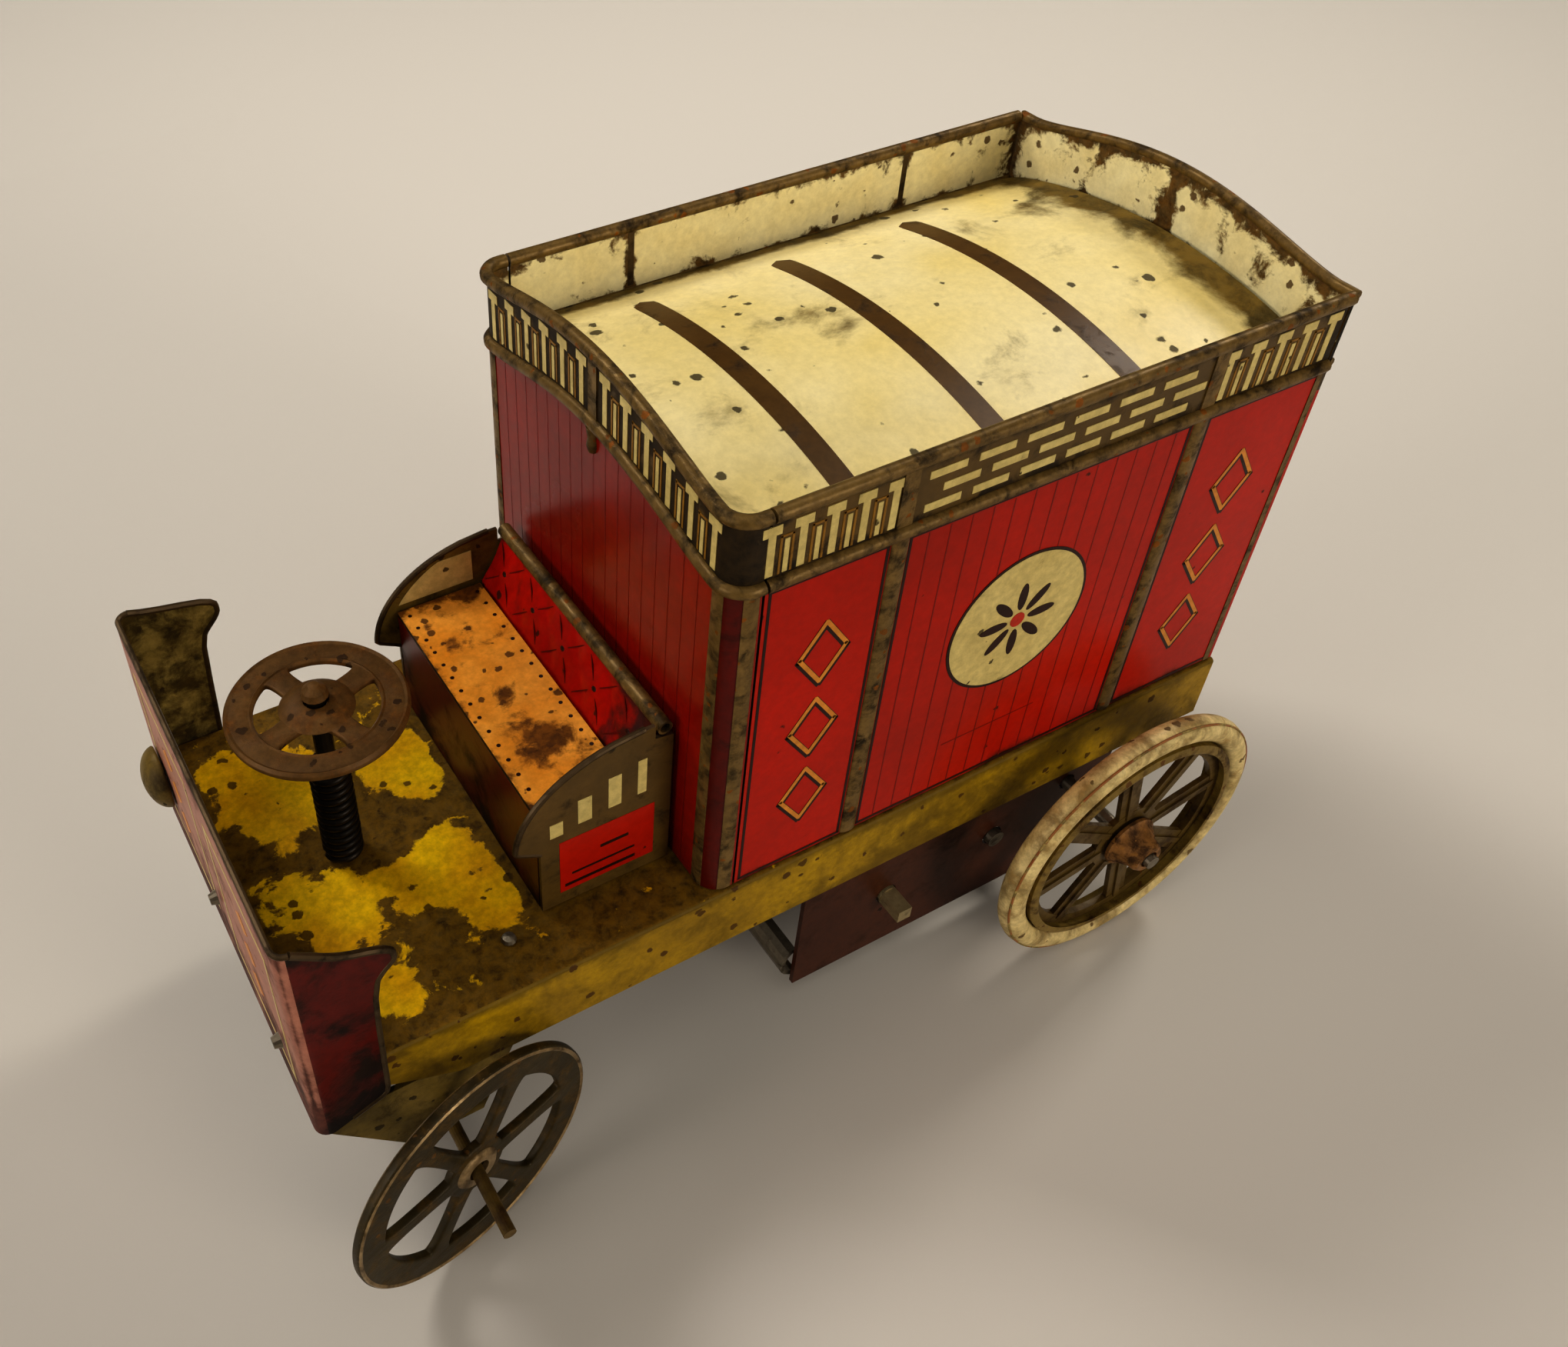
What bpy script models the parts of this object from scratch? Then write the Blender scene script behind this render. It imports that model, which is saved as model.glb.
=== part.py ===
"""Tinplate clockwork toy delivery van: an open driver's seat ahead of a box body with a roof rack.

The van faces +X, its left side is +Y and it stands on z = 0. Sheet parts are drawn in the deck's own
frame, whose zero is the middle of the body's front wall at the top of the floor. Every turning group
hangs from an empty that lies on its axis. All sizes are in metres, written as millimetres times MM.
"""
import math

import bmesh
import bpy
from mathutils import Matrix, Vector

MM = 0.001

# Clearances and sheet
GAP = 0.3 * MM                  # air left between two pieces that touch on the real toy
SHEET = 0.5 * MM                # tinplate
STRAP = 0.7 * MM                # heavier strip of the motor plates and the yoke

# Chassis pan
DECK_HEIGHT = 37.2 * MM         # top of the floor above the ground
PAN_WIDTH = 53.2 * MM
SILL_DEPTH = 9.9 * MM
SILL_NOSE_DEPTH = 6.0 * MM      # depth left where the sill tapers towards the front
SILL_TAPER = 8.0 * MM

# Van body
BODY_LENGTH = 78.0 * MM
BODY_WIDTH = 52.2 * MM
RAIL_HEIGHT = 45.9 * MM         # lower rail, where the roof springs
GALLERY_HEIGHT = 8.4 * MM       # from the lower rail to the top rail
ARCH_RISE = 3.6 * MM
CORNER_RADIUS = 2.6 * MM
CORNER_WRAP = 0.8 * MM          # how far the front wall runs on past its rounded corner
RAIL_RADIUS = 0.8 * MM
PILASTER_WIDTH = 2.2 * MM
PILASTER_RELIEF = 0.45 * MM
FRONT_PANEL_LENGTH = 19.5 * MM
REAR_PANEL_LENGTH = 18.4 * MM
ROOF_DROP = 0.6 * MM            # roof edge above the lower rail
ROOF_RISE = 4.2 * MM
ROOF_CORNER = 3.0 * MM

# Rear doors
DOOR_OPENING_WIDTH = 39.0 * MM
DOOR_SILL = 1.6 * MM
DOOR_HEAD = 42.4 * MM
DOOR_LAP = 1.0 * MM
KNUCKLE_RADIUS = 1.15 * MM
DOOR_PIN_RADIUS = 0.4 * MM
LUG_HEIGHT = 0.9 * MM

# Dashboard
DASH_REACH = 48.0 * MM          # from the front wall to the dashboard's inner face
DASH_HEIGHT = 23.0 * MM
DASH_CORNER = 1.6 * MM
WING_LENGTH = 8.4 * MM          # of the wing at the floor
WING_TIP_DROP = 4.4 * MM
WING_TIP_RADIUS = 1.7 * MM
WING_OVERHANG = 2.4 * MM
LAMP_RADIUS = 4.0 * MM
LAMP_DEPTH = 2.6 * MM
LAMP_OFFSET = 20.5 * MM
LAMP_HEIGHT = 1.5 * MM
RIVET_RADIUS = 0.9 * MM

# Seat
SEAT_DEPTH = 17.2 * MM
SEAT_HEIGHT = 16.2 * MM
SEAT_WIDTH = 37.8 * MM
SEAT_BACK_FOOT = 6.0 * MM       # where the back meets the seat plate
SEAT_BACK_TOP = 23.5 * MM
SEAT_RAIL_RADIUS = 0.9 * MM
SEAT_RAIL_REACH = 1.9 * MM
ARM_BEAK = 3.0 * MM
ARM_BEAK_HEIGHT = 11.6 * MM

# Rear axle and wheels
REAR_AXLE_X = -60.9 * MM
REAR_WHEEL_RADIUS = 20.2 * MM
REAR_TYRE_RADIUS = 1.75 * MM    # of the tyre's own round section
REAR_TRACK = 68.8 * MM
REAR_SPOKES = 8
REAR_SPOKE_WIDTH = 2.0 * MM
REAR_RIM_WIDTH = 2.8 * MM
REAR_HUB_RADIUS = 3.9 * MM
REAR_HUB_LENGTH = 4.2 * MM
REAR_AXLE_RADIUS = 1.0 * MM

# Steering and front wheels
STEER_X = 33.5 * MM
FRONT_WHEEL_RADIUS = 16.7 * MM
FRONT_WHEEL_SIDE = 32.0 * MM    # the one front wheel stands this far left of the middle
FRONT_WHEEL_LEAN = math.radians(15.0)   # it sits slack on the axle and has swung nose outward
FRONT_WHEEL_SHEET = 1.2 * MM
FRONT_WHEEL_BORE = 1.4 * MM     # slack enough for the straight axle to pass at that angle
FRONT_SPOKES = 6
FRONT_SPOKE_WIDTH = 1.9 * MM
FRONT_BAND = 3.8 * MM
FRONT_AXLE_RADIUS = 0.8 * MM
FRONT_AXLE_LEFT = 41.0 * MM     # the axle has slid to the left, end by end
FRONT_AXLE_RIGHT = 25.8 * MM
YOKE_WIDTH = 49.6 * MM
YOKE_BAR = 8.0 * MM
EAR_FRONT = 14.5 * MM           # top of an ear, ahead of the column
EAR_BACK = 9.5 * MM             # top of an ear, behind the column
EAR_FOOT = 4.6 * MM             # half the length of its lower edge
EAR_TAIL = 3.2 * MM             # below the axle
COLUMN_RADIUS = 1.1 * MM
COLUMN_HEIGHT = 26.4 * MM
COIL_RADIUS = 2.05 * MM
COIL_WIRE = 0.4 * MM
COIL_TURNS = 12
COIL_HEIGHT = 15.5 * MM
HANDWHEEL_RADIUS = 9.9 * MM
HANDWHEEL_BAND = 3.1 * MM
HANDWHEEL_HEIGHT = 24.6 * MM
HANDWHEEL_SPOKES = 4

# Clockwork
MOTOR_FRONT = -17.1 * MM
MOTOR_REAR = -68.5 * MM
MOTOR_DEPTH = 33.4 * MM
MOTOR_WIDTH = 47.8 * MM
ARBOR_X = -31.0 * MM
ARBOR_DEPTH = 22.6 * MM
ARBOR_RADIUS = 1.3 * MM
ARBOR_STUB = 3.6 * MM
GEAR_MODULE = 0.8 * MM
GEAR_WIDTH = 1.4 * MM
GEAR_PLACE = -8.0 * MM
GEAR_SLACK = 0.12 * MM
DRIVE_TEETH = 24
IDLER_TEETH = 20
PINION_TEETH = 12
SPRING_TURNS = 4.5
SPRING_STRIP = 0.35 * MM
SPRING_WIDTH = 11.0 * MM
SPRING_OUTER = 8.0 * MM
BRACE_RADIUS = 1.2 * MM

# Worked out from the sizes above
PAN_HALF = PAN_WIDTH / 2
BODY_HALF = BODY_WIDTH / 2
TOP_RAIL = RAIL_HEIGHT + GALLERY_HEIGHT
REAR_WALL_X = -BODY_LENGTH - GAP
DASH_OUTER = DASH_REACH + SHEET
WING_X = DASH_OUTER - WING_LENGTH
SEAT_HALF = SEAT_WIDTH / 2
MOTOR_HALF = MOTOR_WIDTH / 2
FACE_LEFT = (-math.pi / 2, 0.0, 0.0)    # turns a piece drawn up +Z so that it points to +Y


# ---------------------------------------------------------------- scene and materials

def clear_scene():
    for thing in list(bpy.data.objects):
        bpy.data.objects.remove(thing, do_unlink=True)


def paint(name, colour, roughness=0.45, metallic=0.0):
    """A Principled material with one colour."""
    made = bpy.data.materials.new(name)
    made.use_nodes = True
    shader = made.node_tree.nodes["Principled BSDF"]
    shader.inputs["Base Color"].default_value = (*colour, 1.0)
    shader.inputs["Roughness"].default_value = roughness
    shader.inputs["Metallic"].default_value = metallic
    return made


def empty(name, parent=None, location=(0.0, 0.0, 0.0), turn=0.0):
    made = bpy.data.objects.new(name, None)
    bpy.context.scene.collection.objects.link(made)
    made.parent = parent
    made.location = location
    made.rotation_euler = (0.0, 0.0, turn)
    made.empty_display_size = 5 * MM
    return made


def piece(name, bm, material, parent, location=(0.0, 0.0, 0.0), rotation=(0.0, 0.0, 0.0)):
    """Turn a bmesh into a named object under its parent."""
    bmesh.ops.recalc_face_normals(bm, faces=bm.faces)
    mesh = bpy.data.meshes.new(name)
    bm.to_mesh(mesh)
    bm.free()
    if material is not None:
        mesh.materials.append(material)
    made = bpy.data.objects.new(name, mesh)
    bpy.context.scene.collection.objects.link(made)
    made.parent = parent
    made.location = location
    made.rotation_euler = rotation
    return made


def smooth(made, angle=35.0):
    made.data.shade_smooth()
    made.data.set_sharp_from_angle(angle=math.radians(angle))


def boolean(target, bm, operation, label):
    """Cut, join or intersect the target with a tool that shares its frame."""
    tool = piece(f"{target.name}.{label}", bm, None, target.parent, target.location, target.rotation_euler)
    tool.hide_render = True
    tool.display_type = "WIRE"
    change = target.modifiers.new(label, "BOOLEAN")
    change.operation = operation
    change.object = tool
    change.solver = "EXACT"


def carve(target, bm, label="cut"):
    boolean(target, bm, "DIFFERENCE", label)


def fuse(target, bm, label="join"):
    boolean(target, bm, "UNION", label)


def keep_common(target, bm, label="trim"):
    boolean(target, bm, "INTERSECT", label)


# ---------------------------------------------------------------- shapes

def merged(*parts):
    """Several closed shapes that don't touch, as one bmesh."""
    whole = bmesh.new()
    for part in parts:
        mesh = bpy.data.meshes.new("part")
        part.to_mesh(mesh)
        part.free()
        whole.from_mesh(mesh)
        bpy.data.meshes.remove(mesh)
    return whole


def block(low, high):
    """A box between two corners."""
    bm = bmesh.new()
    size = [b - a for a, b in zip(low, high)]
    middle = [(a + b) / 2 for a, b in zip(low, high)]
    matrix = Matrix.Translation(middle) @ Matrix.Diagonal((*size, 1.0))
    bmesh.ops.create_cube(bm, size=1.0, matrix=matrix)
    return bm


def prism(outline, axis, start, end):
    """An outline of (u, v) points pushed along an axis: x takes (y, z), y takes (x, z), z takes (x, y)."""
    place = {
        "x": lambda u, v: (start, u, v),
        "y": lambda u, v: (u, start, v),
        "z": lambda u, v: (u, v, start),
    }[axis]
    push = {"x": (end - start, 0, 0), "y": (0, end - start, 0), "z": (0, 0, end - start)}[axis]
    bm = bmesh.new()
    face = bm.faces.new([bm.verts.new(place(u, v)) for u, v in outline])
    made = bmesh.ops.extrude_face_region(bm, geom=[face])
    moved = [item for item in made["geom"] if isinstance(item, bmesh.types.BMVert)]
    bmesh.ops.translate(bm, verts=moved, vec=push)
    bmesh.ops.recalc_face_normals(bm, faces=bm.faces)
    return bm


def arc(centre, radius, start, end, steps):
    """Points on an arc, angles in degrees."""
    points = []
    for step in range(steps + 1):
        angle = math.radians(start + (end - start) * step / steps)
        points.append((centre[0] + radius * math.cos(angle), centre[1] + radius * math.sin(angle)))
    return points


def turned(profile, segments=32):
    """A closed (radius, height) profile turned about Z, a ring unless it touches the axis."""
    bm = bmesh.new()
    verts = [bm.verts.new((radius, 0.0, height)) for radius, height in profile]
    closed = all(radius > 1e-9 for radius, _ in profile)
    pairs = list(zip(verts, verts[1:]))
    if closed:
        pairs.append((verts[-1], verts[0]))
    edges = [bm.edges.new(pair) for pair in pairs]
    bmesh.ops.spin(bm, geom=verts + edges, cent=(0, 0, 0), axis=(0, 0, 1),
                   angle=2 * math.pi, steps=segments, use_merge=True)
    bmesh.ops.remove_doubles(bm, verts=bm.verts, dist=1e-6)
    bmesh.ops.recalc_face_normals(bm, faces=bm.faces)
    return bm


def rod(radius, start, end, segments=16):
    return turned([(0.0, start), (radius, start), (radius, end), (0.0, end)], segments)


def rod_along_y(radius, start, end, x=0.0, z=0.0, segments=16):
    bm = rod(radius, start, end, segments)
    bmesh.ops.transform(bm, matrix=Matrix.Rotation(-math.pi / 2, 4, "X"), verts=bm.verts)
    bmesh.ops.translate(bm, verts=bm.verts, vec=(x, 0.0, z))
    return bm


def swept(path, radius, sides=8):
    """A round bar along a list of points, capped at both ends."""
    bm = bmesh.new()
    points = [Vector(point) for point in path]
    rings = []
    side = None
    for index, point in enumerate(points):
        ahead = points[min(index + 1, len(points) - 1)] - points[max(index - 1, 0)]
        ahead.normalize()
        if side is None:
            side = ahead.orthogonal()
        side = (side - ahead * side.dot(ahead)).normalized()
        across = ahead.cross(side)
        ring = []
        for corner in range(sides):
            angle = 2 * math.pi * (corner + 0.5) / sides
            ring.append(bm.verts.new(point + radius * (side * math.cos(angle) + across * math.sin(angle))))
        rings.append(ring)
    for first, second in zip(rings, rings[1:]):
        for corner in range(sides):
            after = (corner + 1) % sides
            bm.faces.new((first[corner], first[after], second[after], second[corner]))
    bm.faces.new(rings[0])
    bm.faces.new(rings[-1])
    bmesh.ops.recalc_face_normals(bm, faces=bm.faces)
    return bm


def arch(y, rise=ARCH_RISE, half=BODY_HALF - CORNER_RADIUS):
    """Height of the end galleries' arch above their corners."""
    share = min(1.0, abs(y) / half)
    return rise * (1.0 - share * share) ** 1.5


def spoke_windows(count, inner, outer, spoke, start, end, steps=5):
    """Cutters for the openings between the spokes of a flat wheel."""
    cutters = []
    for index in range(count):
        middle = 2 * math.pi * (index + 0.5) / count
        half = math.pi / count
        wide = half - math.asin(spoke / 2 / outer)
        narrow = half - math.asin(min(0.9, spoke / 2 / inner))
        far = arc((0, 0), outer, math.degrees(middle - wide), math.degrees(middle + wide), steps)
        near = arc((0, 0), inner, math.degrees(middle + narrow), math.degrees(middle - narrow), 2)
        cutters.append(prism(far + near, "z", start, end))
    return merged(*cutters)


# ---------------------------------------------------------------- chassis and dashboard

def build_chassis(deck, colours):
    nose = WING_X - GAP
    tail = REAR_WALL_X - SHEET - GAP
    outline = [(tail, 0.0), (tail, -SILL_DEPTH), (nose - SILL_TAPER, -SILL_DEPTH),
               (nose, -SILL_NOSE_DEPTH), (nose, 0.0)]
    pan = piece("chassis_pan", prism(outline, "y", -PAN_HALF, PAN_HALF), colours["ochre"], deck)
    carve(pan, block((tail + SHEET, -PAN_HALF + SHEET, -2 * SILL_DEPTH),
                     (nose + SHEET, PAN_HALF - SHEET, -SHEET)), "hollow")
    floor_half = PAN_HALF - SHEET - GAP
    fuse(pan, block((nose - SHEET, -floor_half, -SHEET), (DASH_REACH - GAP, floor_half, 0.0)), "footboard")
    hole = rod(COLUMN_RADIUS + GAP, -4 * SHEET, 4 * SHEET)
    bmesh.ops.translate(hole, verts=hole.verts, vec=(STEER_X, 0.0, 0.0))
    carve(pan, hole, "column_hole")
    head = turned([(0, GAP), (RIVET_RADIUS, GAP), (RIVET_RADIUS * 0.8, GAP + RIVET_RADIUS * 0.5),
                   (0, GAP + RIVET_RADIUS * 0.7)], 12)
    rivet = piece("floor_rivet", head, colours["steel"], deck,
                  (SEAT_DEPTH + 5 * MM, SEAT_HALF + 1.4 * MM, 0.0))
    smooth(rivet)


def wing_outline():
    """Side view of the dashboard: the front edge, the wing's rounded tip and its hollow neck."""
    front = DASH_OUTER + 1 * MM
    tip = (WING_X - WING_OVERHANG + WING_TIP_RADIUS, DASH_HEIGHT - WING_TIP_DROP - WING_TIP_RADIUS)
    neck = tip[1] - WING_TIP_RADIUS - 1.3 * MM
    points = [(front, -SILL_DEPTH), (front, DASH_HEIGHT), (DASH_REACH - DASH_CORNER, DASH_HEIGHT),
              (DASH_REACH - 4.8 * MM, DASH_HEIGHT - 2.7 * MM)]
    points += arc(tip, WING_TIP_RADIUS, 90, 250, 6)
    points += [(WING_X - 0.6 * MM, neck + 0.4 * MM), (WING_X - 0.2 * MM, neck - 1.4 * MM), (WING_X, 0.0),
               (WING_X + 0.3 * MM, -SILL_NOSE_DEPTH - 1.2 * MM), (DASH_OUTER - 0.6 * MM, -SILL_DEPTH)]
    return points


def wrap_outline(front, half, radius, back, steps=4):
    """Plan of a sheet that runs across the front and back round both corners."""
    outer = arc((front - radius, half - radius), radius, 90, 0, steps)
    outer += arc((front - radius, -half + radius), radius, 0, -90, steps)
    inner_radius = radius - SHEET
    inner = arc((front - radius, -half + radius), inner_radius, -90, 0, steps)
    inner += arc((front - radius, half - radius), inner_radius, 0, 90, steps)
    return [(back, half)] + outer + [(back, -half), (back, -half + SHEET)] + inner + [(back, half - SHEET)]


def build_dash(deck, colours):
    reach = WING_X - WING_OVERHANG - 1 * MM
    plan = wrap_outline(DASH_OUTER, PAN_HALF, DASH_CORNER, reach)
    dash = piece("dash_panel", prism(plan, "z", -SILL_DEPTH - 1 * MM, DASH_HEIGHT + 1 * MM),
                 colours["pink_red"], deck)
    keep_common(dash, prism(wing_outline(), "y", -PAN_WIDTH, PAN_WIDTH), "side_view")
    shell = [(0.0, 0.0)] + arc((0, 0), 1.0, 0, 90, 5)
    dome = [(x * LAMP_RADIUS, y * LAMP_DEPTH) for x, y in shell]
    lamp = piece("headlamp_right", turned(dome, 24), colours["olive"], deck,
                 (DASH_OUTER + GAP, -LAMP_OFFSET, LAMP_HEIGHT), (0.0, math.pi / 2, 0.0))
    smooth(lamp)
    for name, y in (("dash_rivet_left", LAMP_OFFSET), ("dash_rivet_middle", 0.0)):
        stub = turned([(0, 0), (RIVET_RADIUS, 0), (RIVET_RADIUS * 0.7, RIVET_RADIUS), (0, RIVET_RADIUS)], 12)
        smooth(piece(name, stub, colours["steel"], deck,
                     (DASH_OUTER + GAP, y, LAMP_HEIGHT), (0.0, math.pi / 2, 0.0)))


# ---------------------------------------------------------------- seat

def seat_side_outline():
    """Side view of a seat side: an upright panel under a quarter-oval arm with a beak."""
    front = SEAT_DEPTH
    back = GAP + SHEET
    rear = SEAT_RAIL_REACH + SEAT_RAIL_RADIUS + GAP
    tip = front + ARM_BEAK
    points = [(back, GAP), (front, GAP), (front, ARM_BEAK_HEIGHT - 1 * MM), (tip - 0.6 * MM, ARM_BEAK_HEIGHT),
              (tip, ARM_BEAK_HEIGHT + 0.5 * MM)]
    steps = 9
    for step in range(1, steps + 1):
        angle = math.pi / 2 * step / steps
        points.append((rear + (tip - rear) * math.cos(angle) ** 0.9,
                       ARM_BEAK_HEIGHT + (SEAT_BACK_TOP - ARM_BEAK_HEIGHT) * math.sin(angle)))
    ledge = SEAT_BACK_TOP - 2 * SEAT_RAIL_RADIUS - GAP
    return points + [(rear, ledge), (back, ledge)]


def build_seat(deck, colours):
    for side, name in ((1, "seat_side_left"), (-1, "seat_side_right")):
        ends = sorted((side * SEAT_HALF, side * (SEAT_HALF - SHEET)))
        piece(name, prism(seat_side_outline(), "y", *ends), colours["dark_red"], deck)
    inner = SEAT_HALF - SHEET - GAP
    front = SEAT_DEPTH
    piece("seat_front", block((front - SHEET, -inner, GAP), (front, inner, SEAT_HEIGHT - SHEET - GAP)),
          colours["dark_red"], deck)
    piece("seat_plate", block((SEAT_BACK_FOOT, -inner, SEAT_HEIGHT - SHEET), (front, inner, SEAT_HEIGHT)),
          colours["orange"], deck)
    foot = SEAT_BACK_FOOT - GAP
    top = SEAT_BACK_TOP - 1.2 * MM
    outline = [(foot, GAP), (foot, SEAT_HEIGHT), (SEAT_RAIL_REACH + SHEET, top), (SEAT_RAIL_REACH, top),
               (foot - SHEET, SEAT_HEIGHT - SHEET), (foot - SHEET, GAP)]
    back = piece("seat_back", prism(outline, "y", -inner, inner), colours["red"], deck)
    rail = rod_along_y(SEAT_RAIL_RADIUS, -SEAT_HALF, SEAT_HALF, SEAT_RAIL_REACH, SEAT_BACK_TOP - 0.9 * MM, 12)
    fuse(back, rail, "rail")


# ---------------------------------------------------------------- body

def rail_path(height):
    """Middle line of a rail round the front wall, rising over its arch."""
    centre_x = -CORNER_RADIUS
    centre_y = BODY_HALF - CORNER_RADIUS
    plan = [(centre_x - CORNER_WRAP, BODY_HALF)]
    plan += arc((centre_x, centre_y), CORNER_RADIUS, 90, 0, 4)
    steps = 16
    for step in range(1, steps):
        plan.append((0.0, centre_y - 2 * centre_y * step / steps))
    plan += arc((centre_x, -centre_y), CORNER_RADIUS, 0, -90, 4)
    plan.append((centre_x - CORNER_WRAP, -BODY_HALF))
    return [(x, y, height + arch(y)) for x, y in plan]


def end_outline(bottom, half):
    """Front or rear view of an end wall: square at the foot, arched at the top."""
    steps = 20
    top = []
    for step in range(steps + 1):
        y = half - 2 * half * step / steps
        top.append((y, TOP_RAIL + arch(y)))
    return [(-half, bottom), (half, bottom)] + top


def build_front_wall(deck, colours):
    back = -CORNER_RADIUS - CORNER_WRAP
    plan = wrap_outline(0.0, BODY_HALF, CORNER_RADIUS, back)
    wall = piece("front_wall", prism(plan, "z", -SHEET, TOP_RAIL + 2 * ARCH_RISE), colours["red"], deck)
    keep_common(wall, prism(end_outline(GAP, BODY_WIDTH), "x", -BODY_LENGTH / 4, BODY_LENGTH / 4), "arch")
    fuse(wall, merged(swept(rail_path(RAIL_HEIGHT), RAIL_RADIUS), swept(rail_path(TOP_RAIL), RAIL_RADIUS)), "rails")


def build_side_walls(deck, colours):
    front = -CORNER_RADIUS - CORNER_WRAP - GAP
    rear = -BODY_LENGTH
    for side, name in ((1, "side_wall_left"), (-1, "side_wall_right")):
        ends = sorted((side * BODY_HALF, side * (BODY_HALF - SHEET)))
        wall = piece(name, block((rear, ends[0], GAP), (front, ends[1], TOP_RAIL)), colours["red"], deck)
        bars = []
        for height in (RAIL_HEIGHT, TOP_RAIL):
            bars.append(swept([(rear, side * BODY_HALF, height), (front, side * BODY_HALF, height)], RAIL_RADIUS))
        fuse(wall, merged(*bars), "rails")
        posts = []
        face = side * (BODY_HALF + PILASTER_RELIEF)
        for x in (-FRONT_PANEL_LENGTH, -BODY_LENGTH + REAR_PANEL_LENGTH):
            low = (x - PILASTER_WIDTH / 2, min(face, ends[0] + SHEET / 2), 2 * GAP)
            high = (x + PILASTER_WIDTH / 2, max(face, ends[1] - SHEET / 2), RAIL_HEIGHT)
            posts.append(block(low, high))
        fuse(wall, merged(*posts), "pilasters")


def build_rear_wall(deck, colours):
    outer = REAR_WALL_X - SHEET
    wall = piece("rear_wall", prism(end_outline(GAP, BODY_HALF), "x", REAR_WALL_X, outer), colours["red"], deck)
    bars = []
    steps = 16
    for height in (RAIL_HEIGHT, TOP_RAIL):
        path = []
        for step in range(steps + 1):
            y = BODY_HALF - 2 * BODY_HALF * step / steps
            path.append((outer, y, height + arch(y)))
        bars.append(swept(path, min(RAIL_RADIUS, SHEET + GAP / 2)))
    fuse(wall, merged(*bars), "rails")
    half = DOOR_OPENING_WIDTH / 2
    carve(wall, block((outer - 1 * MM, -half, DOOR_SILL), (REAR_WALL_X + 1 * MM, half, DOOR_HEAD)), "doorway")
    axis_x = outer - GAP - KNUCKLE_RADIUS
    lugs = []
    holes = []
    for side in (1, -1):
        axis_y = side * (half + DOOR_LAP + KNUCKLE_RADIUS)
        for low in (GAP, DOOR_HEAD + GAP):
            lugs.append(block((axis_x - KNUCKLE_RADIUS, axis_y - KNUCKLE_RADIUS, low),
                              (outer + SHEET / 2, axis_y + KNUCKLE_RADIUS, low + LUG_HEIGHT)))
        hole = rod(DOOR_PIN_RADIUS + GAP, -1 * MM, TOP_RAIL)
        bmesh.ops.translate(hole, verts=hole.verts, vec=(axis_x, axis_y, 0.0))
        holes.append(hole)
    fuse(wall, merged(*lugs), "lugs")
    carve(wall, merged(*holes), "pin_holes")


def build_doors(deck, colours):
    outer = REAR_WALL_X - SHEET
    half = DOOR_OPENING_WIDTH / 2
    axis_x = outer - GAP - KNUCKLE_RADIUS
    low = GAP + LUG_HEIGHT + GAP
    for side, label in ((1, "left"), (-1, "right")):
        axis_y = side * (half + DOOR_LAP + KNUCKLE_RADIUS)
        hinge = empty(f"door_axis_{label}", deck, (axis_x, axis_y, 0.0))
        face = outer - GAP - axis_x
        knuckle = turned([(DOOR_PIN_RADIUS + GAP, low), (KNUCKLE_RADIUS, low), (KNUCKLE_RADIUS, DOOR_HEAD),
                          (DOOR_PIN_RADIUS + GAP, DOOR_HEAD)], 16)
        door = piece(f"door_{label}", knuckle, colours["red"], hinge)
        edges = sorted((-side * (DOOR_PIN_RADIUS + GAP / 2), -side * (abs(axis_y) - GAP / 2)))
        fuse(door, block((face - SHEET, edges[0], low), (face, edges[1], DOOR_HEAD)), "leaf")
        pin = rod(DOOR_PIN_RADIUS, GAP, DOOR_HEAD + GAP + LUG_HEIGHT, 12)
        smooth(piece(f"door_pin_{label}", pin, colours["steel"], deck, (axis_x, axis_y, 0.0)))


def build_roof(deck, colours):
    half = BODY_HALF - SHEET - GAP
    edge = RAIL_HEIGHT + ROOF_DROP
    front = -SHEET - GAP
    rear = -BODY_LENGTH + GAP
    steps = 14
    top = []
    for step in range(steps + 1):
        y = half - 2 * half * step / steps
        top.append((y, edge + ROOF_RISE * (1 - (y / half) ** 2)))
    under = [(y, z - SHEET) for y, z in reversed(top)]
    roof = piece("roof_panel", prism(top + under, "x", rear, front), colours["cream"], deck)
    corner = ROOF_CORNER
    plan = arc((front - corner, half - corner), corner, 90, 0, 5)
    plan += arc((front - corner, corner - half), corner, 0, -90, 5)
    plan += arc((rear + corner, corner - half), corner, 270, 180, 5)
    plan += arc((rear + corner, half - corner), corner, 180, 90, 5)
    keep_common(roof, prism(plan, "z", edge - ROOF_RISE, edge + 2 * ROOF_RISE), "round_corners")


# ---------------------------------------------------------------- clockwork

def gear_outline(teeth, turn=0.0):
    """Outer line of a spur gear with straight-sided teeth, the first tooth at the angle turn."""
    pitch_radius = teeth * GEAR_MODULE / 2
    root = pitch_radius - 1.1 * GEAR_MODULE
    tip = pitch_radius + 0.8 * GEAR_MODULE
    step = 2 * math.pi / teeth
    stations = ((root, -0.34), (pitch_radius, -0.21), (tip, -0.09), (tip, 0.09), (pitch_radius, 0.21), (root, 0.34))
    points = []
    for tooth in range(teeth):
        for radius, share in stations:
            angle = turn + step * (tooth + share)
            points.append((radius * math.cos(angle), radius * math.sin(angle)))
    return points


def meshing_turn(teeth, direction, other_teeth, other_turn):
    """Turn a gear so that its gap meets the other gear's tooth on the line between them."""
    phase = (direction - other_turn) / (2 * math.pi / other_teeth)
    return direction + math.pi + (0.5 + phase) * 2 * math.pi / teeth


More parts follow.
